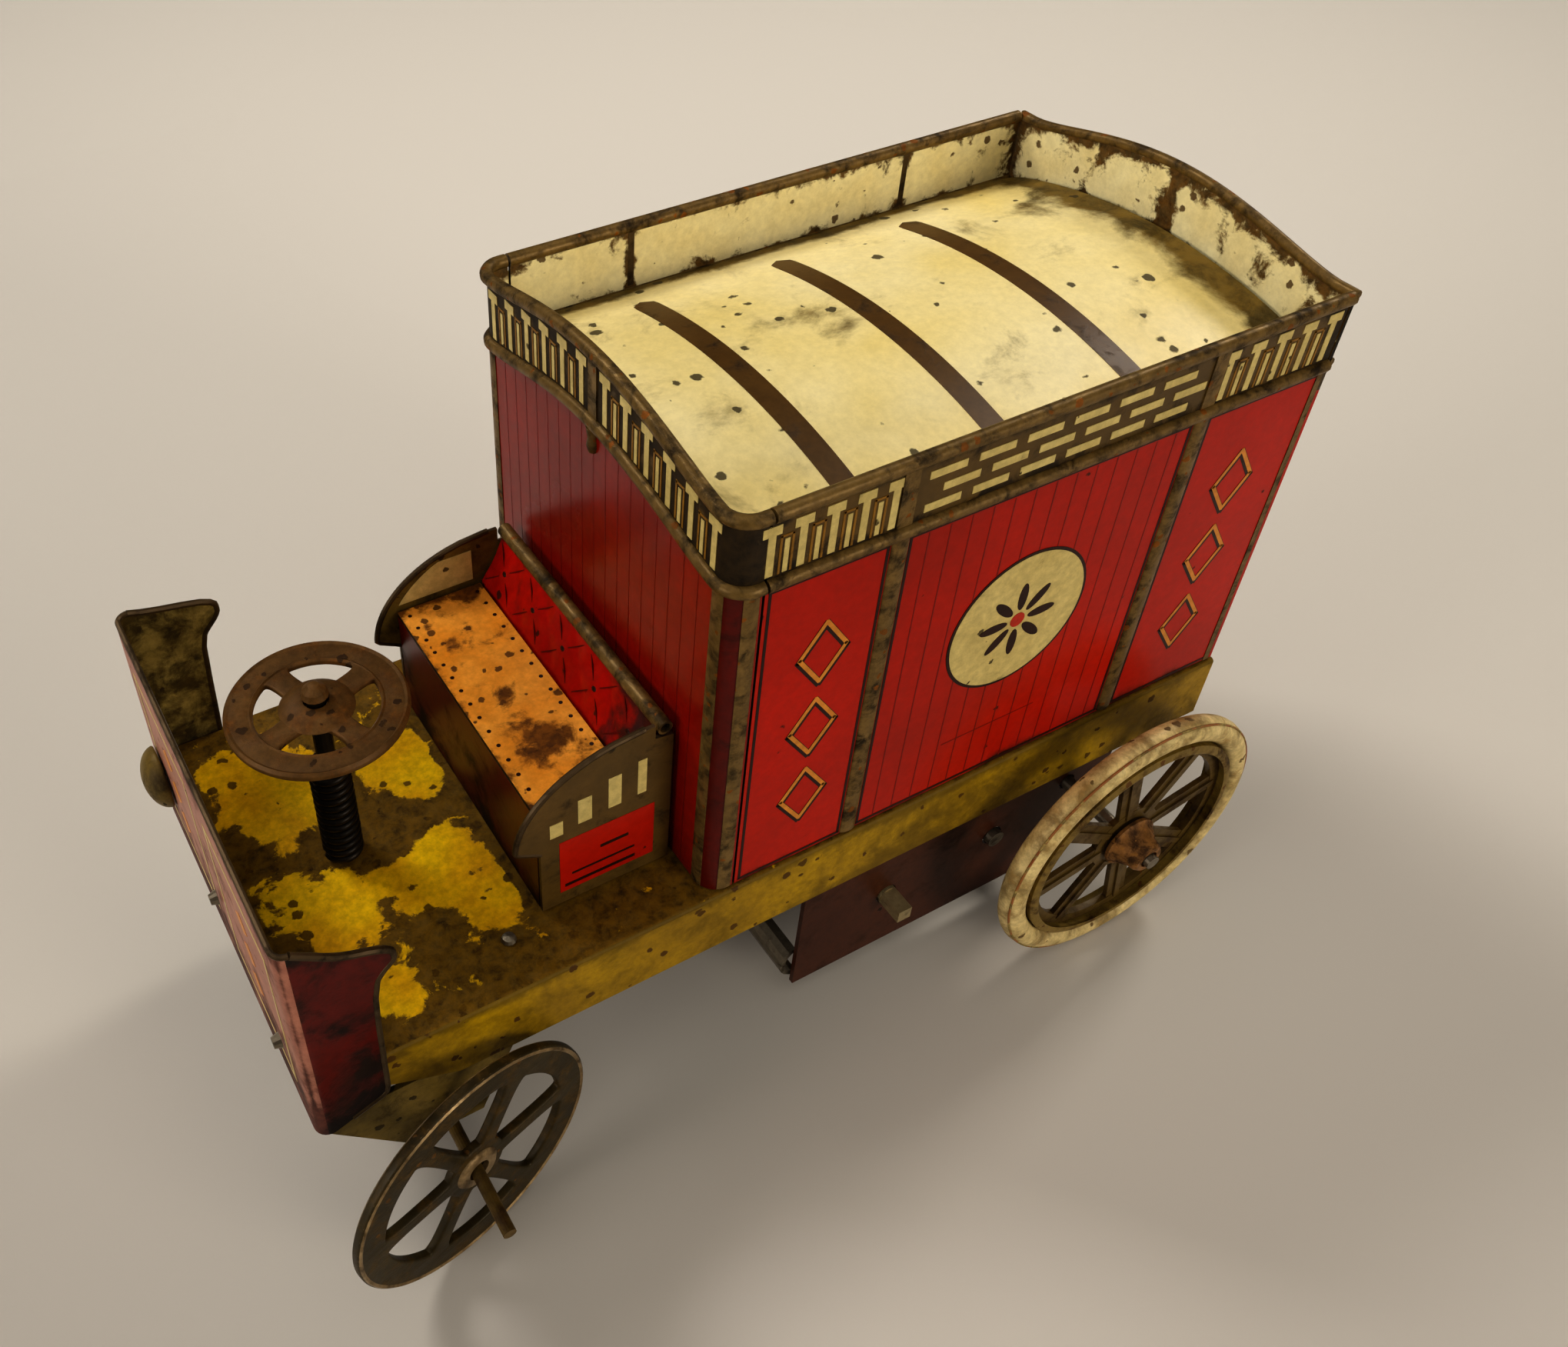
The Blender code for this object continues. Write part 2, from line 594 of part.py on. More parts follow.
def gear_places():
    """Centres (x, z) of the drive gear, the idler and the rear axle in the deck's frame."""
    drive = Vector((ARBOR_X, -ARBOR_DEPTH))
    axle = Vector((REAR_AXLE_X, REAR_WHEEL_RADIUS - DECK_HEIGHT))
    first = (DRIVE_TEETH + IDLER_TEETH) * GEAR_MODULE / 2 + GEAR_SLACK
    second = (IDLER_TEETH + PINION_TEETH) * GEAR_MODULE / 2 + GEAR_SLACK
    line = axle - drive
    span = line.length
    along = (first * first - second * second + span * span) / (2 * span)
    aside = math.sqrt(max(0.0, first * first - along * along))
    normal = Vector((-line.y, line.x)).normalized()
    if normal.y > 0:
        normal.negate()
    return drive, drive + line.normalized() * along + normal * aside, axle


def gear_piece(name, teeth, turn, bore, width, parent, colour):
    """A gear drawn in the (x, z) plane, so that it turns about Y."""
    start = GEAR_PLACE - width / 2
    made = piece(name, prism(gear_outline(teeth, turn), "y", start, start + width), colour, parent)
    carve(made, rod_along_y(bore, start - 1 * MM, start + width + 1 * MM), "bore")
    return made


def motor_plate_outline():
    top = -SHEET - GAP
    bottom = -MOTOR_DEPTH
    return [(MOTOR_FRONT, top), (MOTOR_FRONT, bottom), (MOTOR_REAR + 6 * MM, bottom),
            (MOTOR_REAR, bottom + 8 * MM), (MOTOR_REAR, top)]


def build_motor_frame(deck, colours, drive, idler, axle):
    for side, name in ((1, "motor_plate_left"), (-1, "motor_plate_right")):
        ends = sorted((side * MOTOR_HALF, side * (MOTOR_HALF - STRAP)))
        plate = piece(name, prism(motor_plate_outline(), "y", *ends), colours["maroon"], deck)
        reach = (ends[0] - 1 * MM, ends[1] + 1 * MM)
        carve(plate, merged(rod_along_y(ARBOR_RADIUS + GAP, *reach, drive.x, drive.y),
                            rod_along_y(ARBOR_RADIUS + GAP, *reach, idler.x, idler.y),
                            rod_along_y(REAR_AXLE_RADIUS + GAP, *reach, axle.x, axle.y)), "bearings")
    inner = MOTOR_HALF - STRAP - GAP
    curl = 3.2 * MM
    centre = (MOTOR_FRONT - curl / 2, -MOTOR_DEPTH + curl + GAP)
    lip = arc(centre, curl, -80, 70, 8)
    lip += arc(centre, curl - STRAP, 70, -80, 8)
    piece("motor_brace_front", prism(lip, "y", -inner, inner), colours["maroon"], deck)
    brace = rod_along_y(BRACE_RADIUS, -inner, inner, MOTOR_REAR + 7 * MM, -MOTOR_DEPTH + 5 * MM, 12)
    smooth(piece("motor_brace_rear", brace, colours["steel"], deck))


def spring_outline():
    """Flat spiral strip between the arbor and the outer turn."""
    start = ARBOR_RADIUS + 3 * GAP
    steps = int(SPRING_TURNS * 18)
    outer = []
    inner = []
    for step in range(steps + 1):
        angle = 2 * math.pi * SPRING_TURNS * step / steps
        radius = start + (SPRING_OUTER - start) * step / steps
        outer.append(((radius + SPRING_STRIP) * math.cos(angle), (radius + SPRING_STRIP) * math.sin(angle)))
        inner.append((radius * math.cos(angle), radius * math.sin(angle)))
    return outer + inner[::-1]


def build_clockwork(deck, colours):
    drive, idler, axle = gear_places()
    build_motor_frame(deck, colours, drive, idler, axle)
    drive_axis = empty("drive_axis", deck, (drive.x, 0.0, drive.y))
    idler_axis = empty("idler_axis", deck, (idler.x, 0.0, idler.y))
    axle_axis = empty("rear_axle_axis", deck, (axle.x, 0.0, axle.y))
    to_idler = math.atan2(idler.y - drive.y, idler.x - drive.x)
    to_axle = math.atan2(axle.y - idler.y, axle.x - idler.x)
    idler_turn = meshing_turn(IDLER_TEETH, to_idler, DRIVE_TEETH, 0.0)
    pinion_turn = meshing_turn(PINION_TEETH, to_axle, IDLER_TEETH, idler_turn)
    gear_piece("drive_gear", DRIVE_TEETH, 0.0, ARBOR_RADIUS + GAP, GEAR_WIDTH, drive_axis, colours["brass"])
    gear_piece("idler_gear", IDLER_TEETH, idler_turn, ARBOR_RADIUS + GAP, GEAR_WIDTH, idler_axis, colours["brass"])
    gear_piece("axle_pinion", PINION_TEETH, pinion_turn, REAR_AXLE_RADIUS + GAP, 1.6 * GEAR_WIDTH,
               axle_axis, colours["steel"])
    shaft_end = MOTOR_HALF + GAP
    arbor = piece("drive_arbor", rod(ARBOR_RADIUS, -shaft_end, shaft_end), colours["steel"], drive_axis,
                  rotation=FACE_LEFT)
    square = ARBOR_RADIUS * 0.8
    fuse(arbor, block((-square, -square, shaft_end - 1 * MM), (square, square, shaft_end + ARBOR_STUB)), "key_square")
    smooth(piece("idler_shaft", rod(ARBOR_RADIUS, -shaft_end, shaft_end + 2 * GAP), colours["steel"], idler_axis,
                 rotation=FACE_LEFT))
    strip = prism(spring_outline(), "y", GEAR_PLACE + GEAR_WIDTH, GEAR_PLACE + GEAR_WIDTH + SPRING_WIDTH)
    piece("mainspring", strip, colours["steel"], drive_axis)
    return axle_axis


# ---------------------------------------------------------------- wheels

def build_rear_axle(axis, colours):
    half_track = REAR_TRACK / 2
    end = half_track + REAR_HUB_LENGTH + 4 * GAP
    smooth(piece("rear_axle", rod(REAR_AXLE_RADIUS, -end, end), colours["steel"], axis, rotation=FACE_LEFT))
    bore = REAR_AXLE_RADIUS + GAP
    tyre_line = REAR_WHEEL_RADIUS - REAR_TYRE_RADIUS
    rim = tyre_line - REAR_TYRE_RADIUS - GAP
    web = 0.5 * MM
    wide = REAR_RIM_WIDTH / 2
    for side, label in ((1, "left"), (-1, "right")):
        place = (0.0, side * half_track, 0.0)
        facing = (-side * math.pi / 2, 0.0, 0.0)
        profile = [(bore, -web), (rim - 1.2 * MM, -web), (rim - 1.2 * MM, -wide), (rim, -wide), (rim, wide),
                   (rim - 1.2 * MM, wide), (rim - 1.2 * MM, web), (bore, web)]
        wheel = piece(f"rear_wheel_{label}", turned(profile, 40), colours["olive"], axis, place, facing)
        carve(wheel, spoke_windows(REAR_SPOKES, REAR_HUB_RADIUS + 1 * MM, rim - 1.9 * MM, REAR_SPOKE_WIDTH,
                                   -2 * web, 2 * web), "windows")
        tyre = turned(arc((tyre_line, 0.0), REAR_TYRE_RADIUS, 0, 324, 9), 48)
        smooth(piece(f"rear_tyre_{label}", tyre, colours["cream"], axis, place, facing))
        boss = [(bore, web + GAP), (REAR_HUB_RADIUS, web + GAP), (REAR_HUB_RADIUS, web + 1.2 * MM),
                (REAR_HUB_RADIUS * 0.62, web + REAR_HUB_LENGTH * 0.75), (REAR_HUB_RADIUS * 0.5, web + REAR_HUB_LENGTH),
                (bore, web + REAR_HUB_LENGTH)]
        smooth(piece(f"rear_hub_{label}", turned(boss, 24), colours["copper"], axis, place, facing))


def build_steering(deck, colours):
    steer = empty("steering_axis", deck, (STEER_X, 0.0, 0.0))
    axle_drop = DECK_HEIGHT - FRONT_WHEEL_RADIUS
    axle = empty("front_axle_axis", steer, (0.0, 0.0, -axle_drop))

    yoke_top = -SILL_DEPTH - 3 * GAP
    half = YOKE_WIDTH / 2
    low = -axle_drop - EAR_TAIL
    bar = YOKE_BAR / 2
    yoke = piece("front_yoke", block((-bar, -half, yoke_top - STRAP), (bar, half, yoke_top)),
                 colours["olive"], steer)
    ear = [(-EAR_BACK, yoke_top), (EAR_FRONT, yoke_top), (EAR_FRONT, yoke_top - 1 * MM), (EAR_FOOT, low),
           (-EAR_FOOT, low), (-EAR_BACK, yoke_top - 1 * MM)]
    fuse(yoke, merged(prism(ear, "y", half - STRAP, half), prism(ear, "y", -half, -half + STRAP)), "ears")
    carve(yoke, rod(COLUMN_RADIUS + GAP, yoke_top - 4 * STRAP, yoke_top + STRAP), "column_hole")
    carve(yoke, rod_along_y(FRONT_AXLE_RADIUS + GAP, -half - 1 * MM, half + 1 * MM, 0.0, -axle_drop),
          "axle_holes")

    foot = yoke_top - 2 * STRAP
    smooth(piece("steering_column", rod(COLUMN_RADIUS, foot, COLUMN_HEIGHT), colours["steel"], steer))
    coil = []
    steps = COIL_TURNS * 12
    for step in range(steps + 1):
        angle = 2 * math.pi * COIL_TURNS * step / steps
        height = COIL_WIRE + GAP + COIL_HEIGHT * step / steps
        coil.append((COIL_RADIUS * math.cos(angle), COIL_RADIUS * math.sin(angle), height))
    smooth(piece("column_spring", swept(coil, COIL_WIRE, 5), colours["steel"], steer))

    build_handwheel(steer, colours)

    smooth(piece("front_axle", rod(FRONT_AXLE_RADIUS, -FRONT_AXLE_RIGHT, FRONT_AXLE_LEFT),
                 colours["steel"], axle, rotation=FACE_LEFT))
    build_front_wheel(axle, colours)


def build_handwheel(steer, colours):
    bore = COLUMN_RADIUS + GAP
    face = 0.4 * MM
    dome = 1.5 * MM
    profile = [(bore, -face), (HANDWHEEL_RADIUS - 0.4 * MM, -face), (HANDWHEEL_RADIUS, 0.0),
               (HANDWHEEL_RADIUS - 0.5 * MM, face), (4.2 * MM, face), (2.8 * MM, dome), (bore, dome)]
    wheel = piece("steering_wheel", turned(profile, 36), colours["rust"], steer, (0.0, 0.0, HANDWHEEL_HEIGHT))
    carve(wheel, spoke_windows(HANDWHEEL_SPOKES, 3.9 * MM, HANDWHEEL_RADIUS - HANDWHEEL_BAND, 3.4 * MM,
                               -2 * face, 2 * dome), "windows")
    cap = [(0.0, COLUMN_HEIGHT + GAP), (1.5 * MM, COLUMN_HEIGHT + GAP), (1.3 * MM, COLUMN_HEIGHT + 1.1 * MM),
           (0.6 * MM, COLUMN_HEIGHT + 1.7 * MM), (0.0, COLUMN_HEIGHT + 1.8 * MM)]
    smooth(piece("column_cap", turned(cap, 16), colours["steel"], steer))


def build_front_wheel(axle, colours):
    bore = FRONT_WHEEL_BORE
    face = FRONT_WHEEL_SHEET / 2
    boss = bore + 1.2 * MM
    proud = face + 0.4 * MM
    profile = [(bore, -proud), (boss, -proud), (boss + 0.4 * MM, -face), (FRONT_WHEEL_RADIUS, -face),
               (FRONT_WHEEL_RADIUS, face), (boss + 0.4 * MM, face), (boss, proud), (bore, proud)]
    hang = empty("front_wheel_axis", axle, (0.0, FRONT_WHEEL_SIDE, 0.0), FRONT_WHEEL_LEAN)
    wheel = piece("front_wheel_left", turned(profile, 48), colours["rust"], hang, rotation=FACE_LEFT)
    carve(wheel, spoke_windows(FRONT_SPOKES, boss + 1.6 * MM, FRONT_WHEEL_RADIUS - FRONT_BAND, FRONT_SPOKE_WIDTH,
                               -2 * face, 2 * face), "windows")


# ---------------------------------------------------------------- whole van

def centre_footprint(root):
    """Slide the van so that the middle of its bounding box stands over the origin."""
    bpy.context.view_layer.update()
    graph = bpy.context.evaluated_depsgraph_get()
    corners = []
    for made in bpy.data.objects:
        if made.type != "MESH" or made.hide_render:
            continue
        whole = made.evaluated_get(graph)
        corners += [made.matrix_world @ vertex.co for vertex in whole.data.vertices]
    for axis in (0, 1):
        values = [corner[axis] for corner in corners]
        root.location[axis] -= (min(values) + max(values)) / 2


def main():
    clear_scene()
    colours = {
        "red": paint("red_litho", (0.38, 0.012, 0.006)),
        "dark_red": paint("dark_red_litho", (0.11, 0.008, 0.006)),
        "pink_red": paint("faded_red_litho", (0.40, 0.14, 0.10)),
        "maroon": paint("maroon_paint", (0.07, 0.012, 0.010)),
        "ochre": paint("ochre_litho", (0.42, 0.25, 0.02)),
        "orange": paint("orange_litho", (0.72, 0.30, 0.05)),
        "cream": paint("cream_litho", (0.76, 0.62, 0.30)),
        "olive": paint("olive_paint", (0.11, 0.08, 0.03)),
        "copper": paint("copper_wash", (0.38, 0.17, 0.08), 0.4, 0.6),
        "rust": paint("rusted_tin", (0.13, 0.075, 0.04), 0.7, 0.2),
        "steel": paint("dull_steel", (0.30, 0.28, 0.24), 0.45, 0.9),
        "brass": paint("brass", (0.62, 0.44, 0.16), 0.35, 0.95),
    }
    root = empty("van")
    deck = empty("deck", root, (0.0, 0.0, DECK_HEIGHT))
    build_chassis(deck, colours)
    build_dash(deck, colours)
    build_seat(deck, colours)
    build_front_wall(deck, colours)
    build_side_walls(deck, colours)
    build_rear_wall(deck, colours)
    build_doors(deck, colours)
    build_roof(deck, colours)
    axle_axis = build_clockwork(deck, colours)
    build_rear_axle(axle_axis, colours)
    build_steering(deck, colours)
    centre_footprint(root)


main()
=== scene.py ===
"""Tinplate clockwork delivery van, dressed: printed sheet metal, turned wheels and a small studio."""
import logging
from dataclasses import dataclass
from enum import Enum
from math import asin, cos, degrees, hypot, pi, radians, sin, sqrt
from typing import Callable, Iterable, Optional, Sequence

import bmesh
import bpy
from mathutils import Euler, Matrix, Vector


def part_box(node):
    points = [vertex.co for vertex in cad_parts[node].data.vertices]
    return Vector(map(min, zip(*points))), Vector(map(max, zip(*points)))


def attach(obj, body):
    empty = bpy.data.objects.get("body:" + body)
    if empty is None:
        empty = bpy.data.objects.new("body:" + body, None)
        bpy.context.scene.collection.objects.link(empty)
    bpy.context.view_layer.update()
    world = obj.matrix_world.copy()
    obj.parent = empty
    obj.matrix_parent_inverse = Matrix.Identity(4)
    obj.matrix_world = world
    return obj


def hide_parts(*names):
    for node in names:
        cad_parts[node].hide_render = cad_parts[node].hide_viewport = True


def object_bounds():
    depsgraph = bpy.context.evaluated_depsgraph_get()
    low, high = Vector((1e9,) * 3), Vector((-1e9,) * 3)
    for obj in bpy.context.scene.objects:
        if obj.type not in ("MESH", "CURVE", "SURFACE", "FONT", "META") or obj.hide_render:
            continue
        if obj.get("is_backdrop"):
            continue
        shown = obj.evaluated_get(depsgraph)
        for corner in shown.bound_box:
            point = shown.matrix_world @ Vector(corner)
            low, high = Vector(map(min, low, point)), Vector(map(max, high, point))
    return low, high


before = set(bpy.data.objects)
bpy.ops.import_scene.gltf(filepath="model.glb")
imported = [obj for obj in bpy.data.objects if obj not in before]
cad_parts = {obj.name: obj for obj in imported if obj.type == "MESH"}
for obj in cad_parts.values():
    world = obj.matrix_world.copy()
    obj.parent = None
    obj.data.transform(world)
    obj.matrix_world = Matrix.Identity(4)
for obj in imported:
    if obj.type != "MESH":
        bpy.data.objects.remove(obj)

LOG = logging.getLogger("van")
MM = 0.001
VAN = "van_body"                 # the body that nearly everything rides on
SHEET = 0.5                      # tinplate, mm
HINGE = (-80.25, 21.65)          # the left door pin in the deck plane, mm; the right one mirrors it
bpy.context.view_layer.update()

Point = tuple[float, float, float]
Flat = tuple[float, float]
Tree = bpy.types.NodeTree
Socket = bpy.types.NodeSocket
Mesh = bmesh.types.BMesh
Thing = bpy.types.Object


# ---------------------------------------------------------------- places

def deck_origin() -> Vector:
    """Find the deck's zero: the floor's top, in the middle of the body's front wall.

    Returns:
        The point in metres in the shared frame.
    """
    low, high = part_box("chassis_pan")
    tail_to_wall = 79.1 * MM
    return Vector((low[0] + tail_to_wall, (low[1] + high[1]) / 2, high[2]))


DECK = deck_origin()


def at(x: float, y: float, z: float) -> Vector:
    """Turn millimetres from the deck's zero into the shared frame's metres."""
    return DECK + Vector((x, y, z)) * MM


def facing(outward: Point, upward: Point) -> Euler:
    """Turn a flat thing that lies face up so that it looks another way.

    Args:
        outward: where its face (+Z) is to point.
        upward: where its upper edge (+Y) is to point.

    Returns:
        The turn as Euler angles.
    """
    face = Vector(outward).normalized()
    rise = Vector(upward).normalized()
    across = rise.cross(face)
    return Matrix((across, rise, face)).transposed().to_euler()


# ---------------------------------------------------------------- finishes

def add(tree: Tree, kind: str, feeds: Optional[dict] = None, **settings) -> bpy.types.Node:
    """Add one node with its settings and what feeds its sockets.

    Args:
        tree: the tree that takes the node.
        kind: the node's type name.
        feeds: for each input, by name or number, another node's output or a plain value.
        **settings: the node's own properties.

    Returns:
        The new node.
    """
    node = tree.nodes.new(kind)
    for key, value in settings.items():
        setattr(node, key, value)
    for key, value in (feeds or {}).items():
        if isinstance(value, Socket):
            tree.links.new(value, node.inputs[key])
        else:
            node.inputs[key].default_value = value
    return node


def linear(code: str, alpha: float = 1.0) -> tuple[float, float, float, float]:
    """Turn an sRGB hex colour such as "8c2b1a" into linear values."""
    channels = [int(code[start:start + 2], 16) / 255 for start in (0, 2, 4)]
    red, green, blue = (c / 12.92 if c <= 0.04045 else ((c + 0.055) / 1.055) ** 2.4 for c in channels)
    return (red, green, blue, alpha)


def sums(tree: Tree, operation: str, *values, **settings) -> Socket:
    """Work out one sum of numbers or outputs and give its result."""
    return add(tree, "ShaderNodeMath", dict(enumerate(values)), operation=operation, **settings).outputs[0]


def blend(tree: Tree, share: Socket, first, second) -> Socket:
    """Mix two colours by a share from 0 (first) to 1 (second)."""
    return add(tree, "ShaderNodeMix", {0: share, 6: first, 7: second}, data_type="RGBA").outputs[2]


def span(tree: Tree, value: Socket, low: float, high: float, first: float = 0.0, last: float = 1.0,
        **settings) -> Socket:
    """Turn the range low to high into the range first to last."""
    feeds = {"Value": value, "From Min": low, "From Max": high, "To Min": first, "To Max": last}
    return add(tree, "ShaderNodeMapRange", feeds, **settings).outputs[0]


def noise(tree: Tree, place: Socket, size_mm: float, detail: float, roughness: float = 0.5,
        distortion: float = 0.0) -> bpy.types.Node:
    """Add a cloudy pattern whose features are size_mm across."""
    return add(tree, "ShaderNodeTexNoise", {"Vector": place, "Scale": 1 / (size_mm * MM), "Detail": detail,
        "Roughness": roughness, "Distortion": distortion})


@dataclass(frozen=True)
class Finish:
    """One real surface: what it is made of, how it has aged, and how it takes the light.

    The grime grows where the mesh's own "age" value is high and breaks up along a noise whose
    size is patch_mm; specks are single spots of rust or bruised print, speck_mm apart.
    """

    name: str
    colour: str
    faded: str
    grime: str
    speck: str = "2a1c0e"
    roughness: float = 0.42
    metallic: float = 0.0
    gloss: float = 0.18              # specular level: old varnish gives less than fresh
    patch_mm: float = 9.0
    grime_share: float = 0.25
    grime_soft: float = 0.10
    age_gain: float = 0.75
    fade_share: float = 0.5
    speck_mm: float = 4.0
    speck_share: float = 0.12
    speck_size: float = 0.16
    dent_mm: float = 0.05
    depth: float = 0.35              # how strongly the grime covers
    break_up: float = 1.0            # how ragged the grime's edge is
    mottle: float = 0.35             # fine uneven darkening of the whole surface

    def build(self) -> bpy.types.Material:
        """Make the material, or return it if it is already there.

        Returns:
            The node material.
        """
        made = bpy.data.materials.get(self.name)
        if made is not None:
            return made
        made = bpy.data.materials.new(self.name)
        made.use_nodes = True
        tree = made.node_tree
        tree.nodes.clear()
        place = add(tree, "ShaderNodeTexCoord").outputs["Object"]
        age = add(tree, "ShaderNodeAttribute", attribute_name="age").outputs["Fac"]

        # slow fading of the print
        fade = span(tree, noise(tree, place, self.patch_mm * 1.7, 3.0).outputs[0], 0.35, 0.7, 0.0,
            self.fade_share)
        body = blend(tree, fade, linear(self.colour), linear(self.faded))

        # grime and patina, broken up by two sizes of noise; on the front wall this layer also lays a painted
        # sheen
        broad = noise(tree, place, self.patch_mm, 9.0, 0.66, 0.3).outputs[0]
        ragged = sums(tree, "MULTIPLY_ADD", broad, self.break_up, 0.5 - 0.5 * self.break_up)
        ageing = sums(tree, "MULTIPLY_ADD", age, self.age_gain, ragged)
        edge = 0.78 - 0.5 * self.grime_share
        grime = span(tree, ageing, edge - self.grime_soft, edge + self.grime_soft,
            interpolation_type="SMOOTHSTEP")
        fine = noise(tree, place, 1.1, 6.0, 0.7).outputs[0]
        crust = noise(tree, place, self.patch_mm * 0.45, 8.0, 0.72, 0.4).outputs[0]
        dark = tuple(channel * 0.25 for channel in linear(self.grime)[:3]) + (1.0,)
        patina = blend(tree, span(tree, crust, 0.40, 0.62), dark, linear(self.grime))
        cover = sums(tree, "MULTIPLY", grime, 0.65 + self.depth, use_clamp=True)
        body = blend(tree, cover, body, patina)

        # single specks: only some cells of the pattern hold one
        wobble = noise(tree, place, 0.8, 3.0)
        shaken = add(tree, "ShaderNodeVectorMath", {0: wobble.outputs["Color"], 1: (0.0009, 0.0009, 0.0009),
            2: place}, operation="MULTIPLY_ADD").outputs[0]
        cells = add(tree, "ShaderNodeTexVoronoi", {"Vector": shaken, "Scale": 1 / (self.speck_mm * MM)})
        pick = add(tree, "ShaderNodeSeparateColor", {0: cells.outputs["Color"]}).outputs[0]
        size = span(tree, pick, 1.0 - self.speck_share, 1.0, 0.0, self.speck_size)
        inside = sums(tree, "SUBTRACT", size, cells.outputs["Distance"])
        spot = span(tree, inside, 0.0, 0.04, 0.0, 0.92)
        body = blend(tree, spot, body, linear(self.speck))

        # a fine uneven darkening, as of dust and rubbing in the varnish
        shade = tuple(channel * 0.3 for channel in linear(self.faded)[:3]) + (1.0,)
        body = blend(tree, span(tree, fine, 0.38, 0.66, self.mottle, 0.0), body, shade)

        worn = sums(tree, "MAXIMUM", cover, spot)
        rough = span(tree, worn, 0.0, 1.0, self.roughness, min(0.85, self.roughness + 0.22))
        height = sums(tree, "MULTIPLY_ADD", fine, -0.35, worn)
        dents = sums(tree, "MULTIPLY_ADD", broad, 1.2, height)
        bump = add(tree, "ShaderNodeBump", {"Strength": 0.35, "Distance": self.dent_mm * MM, "Height": dents})
        shader = add(tree, "ShaderNodeBsdfPrincipled", {"Base Color": body, "Roughness": rough,
            "Metallic": self.metallic, "Specular IOR Level": self.gloss, "Normal": bump.outputs[0]})
        add(tree, "ShaderNodeOutputMaterial", {0: shader.outputs[0]})
        return made


# Lithographed tinplate, inked and stoved under varnish: flat even red with a soft gloss that fades in clouds
RED = Finish("red_lithograph", "b81a02", "991803", "4a2412", roughness=0.28, gloss=0.12, mottle=0.22,
    patch_mm=14, grime_share=0.10, speck="33140a", speck_share=0.5, speck_size=0.12, speck_mm=4,
    fade_share=0.9, dent_mm=0.03)
# The same print on the front wall, painted deeper red than the sides' as shade, dulled to purplish brown in
# clouds that are partly rubbed dirt at its foot and partly a painted sheen high on the wall
FRONT_RED_PAINTED_SHADE_AND_SHEEN = Finish("front_wall_lithograph_painted_shade_and_sheen", "941202", "660e02", "7a3424", roughness=0.24, mottle=0.25,
    patch_mm=19, grime_share=0.10, grime_soft=0.22, depth=-0.1, speck="33140a", speck_share=0.03,
    speck_size=0.10, speck_mm=5, fade_share=1.0, dent_mm=0.05)
# Dark red ink that has gone nearly black with handling: only its edges still look red
DEEP_RED = Finish("deep_red_lithograph", "5c0c02", "3c0a02", "1e1005", roughness=0.34, patch_mm=8,
    grime_share=0.35, speck_share=0.05)
# Glossy red print of the quilted back: bright, with small dark pits where the tin shows
QUILT_RED = Finish("quilt_red_lithograph", "ac0e02", "860e02", "3a140a", roughness=0.28, patch_mm=9,
    grime_share=0.20, speck="1c0d04", speck_share=0.8, speck_size=0.22, speck_mm=3.0)
# Brown print rubbed down to dull tin on the raised beads: mottled bronze with a broken metal glint
BRONZE = Finish("rubbed_bronze_lithograph", "84693a", "5e481e", "34260f", roughness=0.40, metallic=0.3,
    patch_mm=2.6, grime_share=0.42, grime_soft=0.14, speck="8a5012", speck_share=1.0, speck_mm=1.8,
    speck_size=0.3, dent_mm=0.08, break_up=1.2, mottle=0.5)
# Dark brown ground behind the printed balustrade: nearly black, slightly warm
BAND = Finish("gallery_ground_lithograph", "54401c", "6e5222", "2c200e", roughness=0.38, patch_mm=4,
    grime_share=0.35, speck="100b05", speck_share=0.1)
# Cream ink, yellowed by varnish, with brown pin-holes
CREAM = Finish("cream_lithograph", "d9c47e", "bba35a", "5c431a", roughness=0.36, patch_mm=5,
    grime_share=0.16, speck="2c1e0e", speck_share=0.8, speck_mm=2.6, speck_size=0.2)
# Gold ink: a warm ochre line that is a little rubbed
GOLD_INK = Finish("gold_ink", "dc9136", "b87426", "6a3c14", roughness=0.40, patch_mm=4, grime_share=0.15)
# Tan outline ink: thin, half sunk in the dark ground
TAN_INK = Finish("tan_ink", "94691f", "765016", "3a260c", roughness=0.42, patch_mm=4, grime_share=0.25)
# Black-brown ink of outlines and shadows
DARK_INK = Finish("dark_ink", "240c04", "341208", "180a05", roughness=0.38, patch_mm=5, grime_share=0.3)
# Thin dark red ink of the board lines: seen only as a slight stripe
BOARD_INK = Finish("board_line_ink", "720c02", "841204", "300c06", roughness=0.34, patch_mm=5,
    grime_share=0.2)
# Light red ink
RED_INK = Finish("red_ink", "c03018", "a02410", "4c2012", roughness=0.38, patch_mm=4, grime_share=0.15)
# Ivory roof print: glossy, yellowed in clouds, brown stains along the gallery and scattered rust pits
ROOF = Finish("roof_ivory_lithograph", "faeab0", "f0d886", "7c6226", roughness=0.36, patch_mm=11,
    grime_share=0.26, grime_soft=0.16, age_gain=0.85, speck="2c2210", speck_mm=3.3, speck_share=1.0,
    speck_size=0.26, fade_share=0.9, dent_mm=0.06, break_up=1.25, mottle=0.16)
# Brown strip print on the roof, with the same varnish
ROOF_STRIP = Finish("roof_strip_lithograph", "553a16", "664a22", "30200c", roughness=0.36, patch_mm=4,
    grime_share=0.3)
# Cream lacquer inside the gallery: smooth, but eaten by rust from its edges inwards in crumbly patches
INSIDE_CREAM = Finish("gallery_inside_lacquer", "f4e8b4", "e2cc88", "684618", roughness=0.34, patch_mm=3.6,
    grime_share=0.20, grime_soft=0.07, age_gain=0.55, speck="4a2c0c", speck_mm=2.6, speck_share=1.0,
    speck_size=0.24, dent_mm=0.06, break_up=1.2, mottle=0.2)
